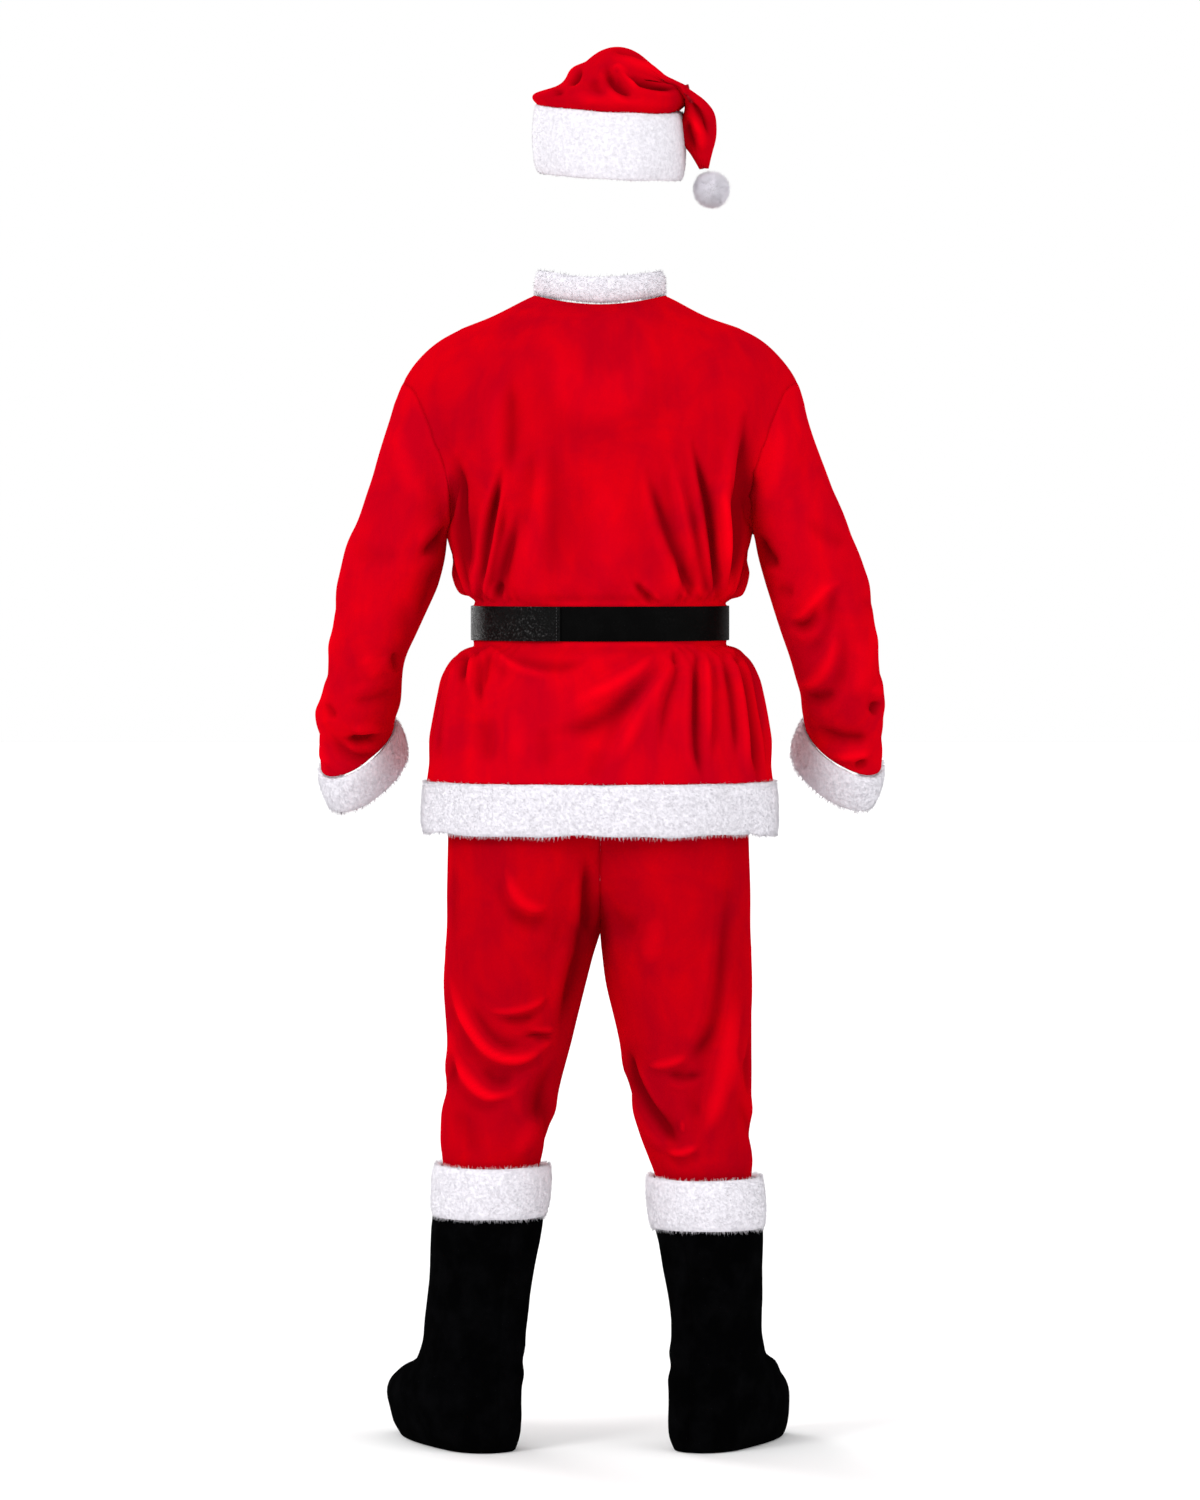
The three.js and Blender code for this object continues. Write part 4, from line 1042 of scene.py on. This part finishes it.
class SUIT_OT_boots(bpy.types.Operator):
    """Make the black boot covers"""
    bl_idname = "suit.boots"
    bl_label = "Boot covers"

    def execute(self, context):
        for number, names in enumerate(BOOTS):
            skin = through_own_points(sewn_skin(names, 1.4 * MM), 2)
            points = points_of(skin)
            member = owners(skin, 2)
            total = wander(points, 16, 2.4, 11 + number) + wander(points, 45, 0.7, 13 + number)
            ankle = np.exp(-((heights_of(points) - 105) / 26) ** 2)
            total += ankle * 1.6 * np.sin(heights_of(points) / 6.5 + points[:, 0] * 60)
            seams = distance_to(points, seam_points(skin, member), 0.012) / MM
            total -= 1.0 * np.exp(-(seams / 2.6) ** 2)
            outward = points[:, 0] * (1 if number == 0 else -1) / MM
            heel = np.exp(-((heights_of(points) - 64) / 34) ** 2)
            total += (14, 0)[number] * heel * smooth((outward - 165) / 60)
            total *= smooth(heights_of(points) / 16)
            swollen(skin, total * edge_fade(skin, 8 * MM))
            for index, name in enumerate(names):
                cloth_piece(name + "_cloth", cut_panel(skin, index), "boot", "boot",
                            2.2 * MM)
        return {"FINISHED"}


class SUIT_OT_hat(bpy.types.Operator):
    """Make the hat's red crown"""
    bl_idname = "suit.hat"
    bl_label = "Hat"

    def execute(self, context):
        skin = through_own_points(sewn_skin(("hat_crown",), 2e-5), 3)
        self.shape_crown(skin)
        points, normals = points_of(skin), normals_of(skin)
        folds = crease_field(points, normals, crease_rows("hat", SEED + 9))
        total = folds * 0.8 + wander(points, 22, 1.2, 17)
        swollen(skin, total * edge_fade(skin, 12 * MM), folds)
        cloth_piece("hat_crown_cloth", cut_panel(skin, 0), "hat_velour", "reverse",
                    context.scene.suit_cloth.thickness)
        return {"FINISHED"}

    def shape_crown(self, skin):
        """Draws the crown's top in and down, and lowers the crown's edge over the band."""
        points, normals = points_of(skin), normals_of(skin)
        height = heights_of(points)
        tall = smooth((height - 1735) / 25)
        points[:, 0] += (-8 * MM - points[:, 0]) * 0.15 * tall
        points[:, 2] -= 5 * MM * smooth((height - 1742) / 40)
        skirt = smooth((1760 - height) / 30) * smooth((points[:, 0] / MM + 98) / 14)
        points[:, 2] -= 3.5 * MM * skirt
        tail = (points[:, 0] < -0.104) & (height < 1722)
        fill = np.exp(-((height - 1688) / 24) ** 2) * np.maximum(normals[:, 0], 0)
        points[tail, 0] += 15 * MM * fill[tail]
        outer = np.exp(-((height - 1732) / 18) ** 2) * np.maximum(-normals[:, 0], 0)
        points[:, 0] += 9 * MM * outer * (points[:, 0] < -0.11)
        set_points(skin, points)


# ---- plush -------------------------------------------------------------------------------
def rounded_solid(name, radius, levels):
    """A CAD solid with its sharp edges rolled over."""
    bm = merged_copy(name)
    to_quads(bm)
    sharp = [e for e in bm.edges
             if len(e.link_faces) == 2 and e.calc_face_angle(0) > math.radians(50)]
    bmesh.ops.bevel(bm, geom=sharp, offset=radius, segments=2, profile=0.5, material=-1,
                    affect="EDGES", clamp_overlap=True)
    return subdivided(as_mesh(bm, name), levels)


def triangle_arrays(mesh):
    mesh.calc_loop_triangles()
    corners = np.empty(len(mesh.loop_triangles) * 3, np.int32)
    mesh.loop_triangles.foreach_get("vertices", corners)
    return corners.reshape(-1, 3)


def scattered(mesh, wanted, count, random):
    """Places and normals spread evenly over some of a mesh's triangles."""
    points, normals = points_of(mesh), normals_of(mesh)
    corners = triangle_arrays(mesh)[wanted]
    a, b, c = (points[corners[:, k]] for k in range(3))
    area = np.linalg.norm(np.cross(b - a, c - a), axis=1) / 2
    pick = random.choice(len(corners), count, p=area / area.sum())
    u, v = random.random((2, count))
    flip = u + v > 1
    u[flip], v[flip] = 1 - u[flip], 1 - v[flip]
    share = np.column_stack([1 - u - v, u, v])
    at = np.einsum("ij,ijk->ik", share, points[corners[pick]])
    up = np.einsum("ij,ijk->ik", share, normals[corners[pick]])
    return at, up / np.linalg.norm(up, axis=1)[:, None]


def unit(vectors):
    return vectors / np.maximum(np.linalg.norm(vectors, axis=1), 1e-9)[:, None]


def strand_mesh(name, roots, ways, lengths, width, shading, random, look="pile"):
    """Thin three-sided spikes with their feet in the backing, as one joined mesh."""
    count = len(roots)
    across = unit(np.cross(ways, random.normal(size=(count, 3))))
    other = np.cross(ways, across)
    points = np.empty((count, 4, 3))
    foot = roots - ways * 0.4 * MM
    for k in range(3):
        turn = 2 * math.pi * k / 3
        points[:, k] = foot + (across * math.cos(turn) + other * math.sin(turn)) * width
    points[:, 3] = roots + ways * lengths[:, None]
    first = np.arange(count)[:, None, None] * 4
    corners = first + np.array([[0, 1, 3], [1, 2, 3], [2, 0, 3]])
    mesh = bpy.data.meshes.new(name)
    mesh.vertices.add(count * 4)
    mesh.vertices.foreach_set("co", points.ravel())
    mesh.loops.add(count * 9)
    mesh.loops.foreach_set("vertex_index", corners.ravel().astype(np.int32))
    mesh.polygons.add(count * 3)
    mesh.polygons.foreach_set("loop_start", np.arange(count * 3, dtype=np.int32) * 3)
    mesh.update(calc_edges=True)
    shade_smooth(mesh)
    mesh.normals_split_custom_set_from_vertices(np.repeat(shading, 4, axis=0))
    mesh.materials.append(finish(look))
    return mesh


def outer_triangles(base, name, depth):
    """Which triangles of a rounded solid lie on or beside its outer face, and that face."""
    bm = merged_copy(name)
    keep_outer_face(bm)
    tree = BVHTree.FromBMesh(bm)
    border = [v.co.copy() for v in bm.verts if v.is_boundary]
    edges = [e for e in bm.edges if e.is_boundary]
    for edge in edges:
        a, b = (v.co for v in edge.verts)
        border += [a.lerp(b, t / 8) for t in range(1, 8)]
    bm.free()
    points, corners = points_of(base), triangle_arrays(base)
    middles = points[corners].mean(1)
    wanted = np.array([tree.find_nearest(m)[3] < depth for m in middles])
    return wanted, np.array(border)


def pile_on(base, name, long, low_fringe, high_fringe, random):
    """The pile of one trim: combed down, and turned out over its edges."""
    look = bpy.context.scene.suit_plush
    wanted, border = outer_triangles(base, name, 3.2 * MM)
    points, corners = points_of(base), triangle_arrays(base)[wanted]
    a, b, c = (points[corners[:, k]] for k in range(3))
    area = np.linalg.norm(np.cross(b - a, c - a), axis=1).sum() / 2
    count = int(area / MM ** 2 * look.density)
    at, up = scattered(base, wanted, count, random)
    tree = KDTree(len(border))
    for i, spot in enumerate(border):
        tree.insert(spot, i)
    tree.balance()
    nearest = np.array([tree.find(p)[0] for p in at])
    to_edge = nearest - at
    away = np.linalg.norm(to_edge, axis=1)
    edge_way = unit(to_edge)
    comb = np.tile([0.0, 0.0, -1.0], (count, 1))
    comb = unit(comb - up * np.sum(comb * up, axis=1)[:, None])
    lower = np.sum(edge_way * comb, axis=1) > 0
    turn_out = np.exp(-(away / (4.5 * MM)) ** 2) * np.where(lower, low_fringe, high_fringe)
    tuft = wander(at, 260, 0.5, 29)[:, None] * np.array([0.9, 0.9, 0.4])
    ways = unit(up * 0.8 + comb * 0.45 + edge_way * turn_out[:, None]
                + random.normal(0, 0.2, (count, 3)) + tuft)
    lengths = look.pile * long * random.uniform(0.7, 1.1, count) * (0.75 + 0.8 * turn_out)
    shading = unit(up + ways * 0.12)
    return strand_mesh(name + "_pile", at, ways, lengths, 0.36 * MM, shading, random)


def trim_shape(name, points):
    """Moves of a trim's backing: the hem's waves and lapped end, and the boot cuffs' joins."""
    moves = np.zeros_like(points)
    back = smooth(points[:, 1] / 0.02)
    if name == "hem_trim":
        angle = np.arctan2(points[:, 1], points[:, 0])
        wave = 1.3 * np.sin(angle * 5 + 0.6) + 0.9 * np.sin(angle * 13 + 2.2)
        lapped = smooth((-points[:, 0] / MM - 198) / 3) * back
        loose = smooth((848 - heights_of(points)) / 40)
        moves[:, 2] = ((wave - 5 * lapped) * loose + 1.6 * (1 - loose)) * MM
        moves[:, 1] = 1.5 * MM * lapped
    elif name in BOOT_CUFF_JOINS:
        off = points[:, 0] / MM - BOOT_CUFF_JOINS[name]
        moves[:, 1] = -1.6 * MM * np.exp(-(off / 2.2) ** 2) * back
    return moves


class SUIT_OT_plush(bpy.types.Operator):
    """Make the white plush trims, with their backing and pile"""
    bl_idname = "suit.plush"
    bl_label = "Plush trims"

    def execute(self, context):
        for number, (name, (long, low_fringe, high_fringe)) in enumerate(TRIMS.items()):
            random = np.random.default_rng(SEED * 10 + number)
            base = rounded_solid(name, 2.2 * MM, 1)
            points = points_of(base)
            swell = wander(points, 30, 1.1, 31 + number)[:, None] * MM
            set_points(base, points + normals_of(base) * swell + trim_shape(name, points))
            shade_smooth(base)
            base.materials.append(finish("backing"))
            backing = link_object(name + "_backing", base)
            pile = link_object(name + "_pile", pile_on(base, name, long, low_fringe,
                                                       high_fringe, random))
            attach(pile, "root")
            declare(backing, name)
        self.pompom()
        return {"FINISHED"}

    def pompom(self):
        random = np.random.default_rng(SEED * 10 + 9)
        low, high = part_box("hat_pompom")
        middle, radius = (low + high) / 2, (high.x - low.x) / 2
        bm = bmesh.new()
        bmesh.ops.create_icosphere(bm, subdivisions=4, radius=radius * 0.82)
        bmesh.ops.translate(bm, verts=bm.verts, vec=middle)
        core = as_mesh(bm, "pompom_core")
        swell = wander(points_of(core), 60, 1.5, 41) * MM
        set_points(core, points_of(core) + normals_of(core) * swell[:, None])
        shade_smooth(core)
        core.materials.append(finish("backing"))
        ball = link_object("pompom_core", core)
        count = 7500
        everywhere = np.ones(len(triangle_arrays(core)), bool)
        at, up = scattered(core, everywhere, count, random)
        tuft = wander(at, 190, 0.5, 43)[:, None] * np.array([1.0, 0.6, 0.7])
        ways = unit(up + random.normal(0, 0.3, (count, 3)) + tuft)
        lengths = random.uniform(4.0, 7.5, count) * MM
        pile = link_object("pompom_pile", strand_mesh("pompom_pile", at, ways, lengths,
                                                      0.36 * MM, unit(up + ways * 0.12),
                                                      random, "lightened_ball_pile"))
        for piece in (ball, pile):
            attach(piece, "root")
        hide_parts("hat_pompom")


# ---- belt --------------------------------------------------------------------------------
class SUIT_OT_belt(bpy.types.Operator):
    """Make the belt's two straps, its stitched lap and its buckle"""
    bl_idname = "suit.belt"
    bl_label = "Belt"

    def execute(self, context):
        for name, look in (("belt_strap_left", "glossy"), ("belt_strap_right", "matt")):
            base = rounded_solid(name, 0.5 * MM, 1)
            shade_smooth(base)
            base.materials.append(finish(look))
            piece = link_object(name + "_leather", base)
            declare(piece, name)
        base = rounded_solid("buckle", 0.7 * MM, 1)
        base.materials.append(finish("metal"))
        buckle = link_object("buckle_frame", base)
        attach(buckle, "root")
        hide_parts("buckle")
        self.stitches(context.scene.suit_belt.stitches)
        return {"FINISHED"}

    def stitches(self, count):
        """A row of short stitches down the end of the left strap."""
        low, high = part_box("belt_strap_left")
        tree = BVHTree.FromObject(bpy.data.objects["belt_strap_left_leather"],
                                  bpy.context.evaluated_depsgraph_get())
        bm = bmesh.new()
        end = 55 * MM
        for i in range(count):
            z = low.z + (high.z - low.z) * (i + 0.5) / count
            hit, normal, _, _ = tree.ray_cast(Vector((end, 1, z)), Vector((0, -1, 0)))
            if hit is None:
                raise RuntimeError("the belt's lap isn't where its stitches go")
            made = bmesh.ops.create_icosphere(bm, subdivisions=2, radius=1 * MM)["verts"]
            bmesh.ops.scale(bm, verts=made, vec=STITCH_SHAPE)
            bmesh.ops.translate(bm, verts=made, vec=hit + normal * 0.1 * MM)
        for face in bm.faces:
            face.smooth = True
        mesh = as_mesh(bm, "belt_stitches")
        mesh.materials.append(finish("thread"))
        piece = link_object("belt_stitches", mesh)
        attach(piece, "root")


# ---- stage -------------------------------------------------------------------------------
class SUIT_OT_stage(bpy.types.Operator):
    """Set up the camera, lights and floor"""
    bl_idname = "suit.stage"
    bl_label = "Stage"

    def execute(self, context):
        self.camera(context.scene)
        self.lights()
        self.floor()
        world = bpy.data.worlds.new("white_room")
        world.use_nodes = True
        background = world.node_tree.nodes["Background"]
        background.inputs["Color"].default_value = (1, 1, 1, 1)
        background.inputs["Strength"].default_value = 1.0
        context.scene.world = world
        context.scene.view_settings.view_transform = "Standard"
        return {"FINISHED"}

    def camera(self, scene):
        data = bpy.data.cameras.new("camera")
        data.sensor_width = 36
        data.lens = 168.9
        camera = bpy.data.objects.new("camera", data)
        camera.location = (0, 9, -0.300)
        camera.rotation_euler = (math.radians(90 - 1.78), 0, math.pi)
        scene.collection.objects.link(camera)
        scene.camera = camera

    def lights(self):
        """Soft suns: from, spread in degrees and strength."""
        for name, place, spread, power in (
                ("key", (3.0, 3.4, 2.2), 22, 1.6),
                ("fill", (-3.4, 2.6, 1.0), 50, 1.0),
                ("front_fill", (2.4, -4.0, 1.6), 30, 1.8)):
            data = bpy.data.lights.new(name, "SUN")
            data.angle = math.radians(spread)
            data.energy = power
            light = bpy.data.objects.new(name, data)
            light.rotation_euler = (-Vector(place)).to_track_quat("-Z", "Y").to_euler()
            bpy.context.scene.collection.objects.link(light)

    def floor(self):
        bm = bmesh.new()
        bmesh.ops.create_grid(bm, x_segments=1, y_segments=1, size=30)
        bmesh.ops.translate(bm, verts=bm.verts, vec=(0, 0, CAD_BOX[0][2] - FLOOR_DROP))
        mesh = as_mesh(bm, "floor")
        f = Finish("floor")
        f.link(f.mix(f.noise(f.place(), 3.0, 2, 0.5), (0.80, 0.80, 0.805),
                     (0.83, 0.83, 0.83)), "Base Color")
        f.set(Roughness=0.9, Specular_IOR_Level=0.1)
        mesh.materials.append(f.material)
        link_object("floor", mesh)


class SUIT_PT_panel(bpy.types.Panel):
    """Lists the suit's pieces"""
    bl_label = "Santa suit"
    bl_space_type = "VIEW_3D"
    bl_region_type = "UI"
    bl_category = "Santa suit"

    def draw(self, context):
        for group in (context.scene.suit_cloth, context.scene.suit_plush,
                      context.scene.suit_belt):
            box = self.layout.box()
            for key in group.__annotations__:
                box.prop(group, key)
        for maker in OPERATORS:
            self.layout.operator(maker.bl_idname)


OPERATORS = (SUIT_OT_stage, SUIT_OT_jacket, SUIT_OT_trousers, SUIT_OT_boots, SUIT_OT_hat,
             SUIT_OT_belt, SUIT_OT_plush)
CLASSES = (SuitCloth, SuitPlush, SuitBelt, *OPERATORS, SUIT_PT_panel)


def register():
    for cls in CLASSES:
        bpy.utils.register_class(cls)
    bpy.types.Scene.suit_cloth = PointerProperty(type=SuitCloth)
    bpy.types.Scene.suit_plush = PointerProperty(type=SuitPlush)
    bpy.types.Scene.suit_belt = PointerProperty(type=SuitBelt)


def unregister():
    del bpy.types.Scene.suit_belt
    del bpy.types.Scene.suit_plush
    del bpy.types.Scene.suit_cloth
    for cls in reversed(CLASSES):
        bpy.utils.unregister_class(cls)


def main():
    register()
    bpy.ops.suit.stage()
    bpy.ops.suit.jacket()
    bpy.ops.suit.trousers()
    bpy.ops.suit.boots()
    bpy.ops.suit.hat()
    bpy.ops.suit.belt()
    bpy.ops.suit.plush()


if __name__ == "__main__":
    main()
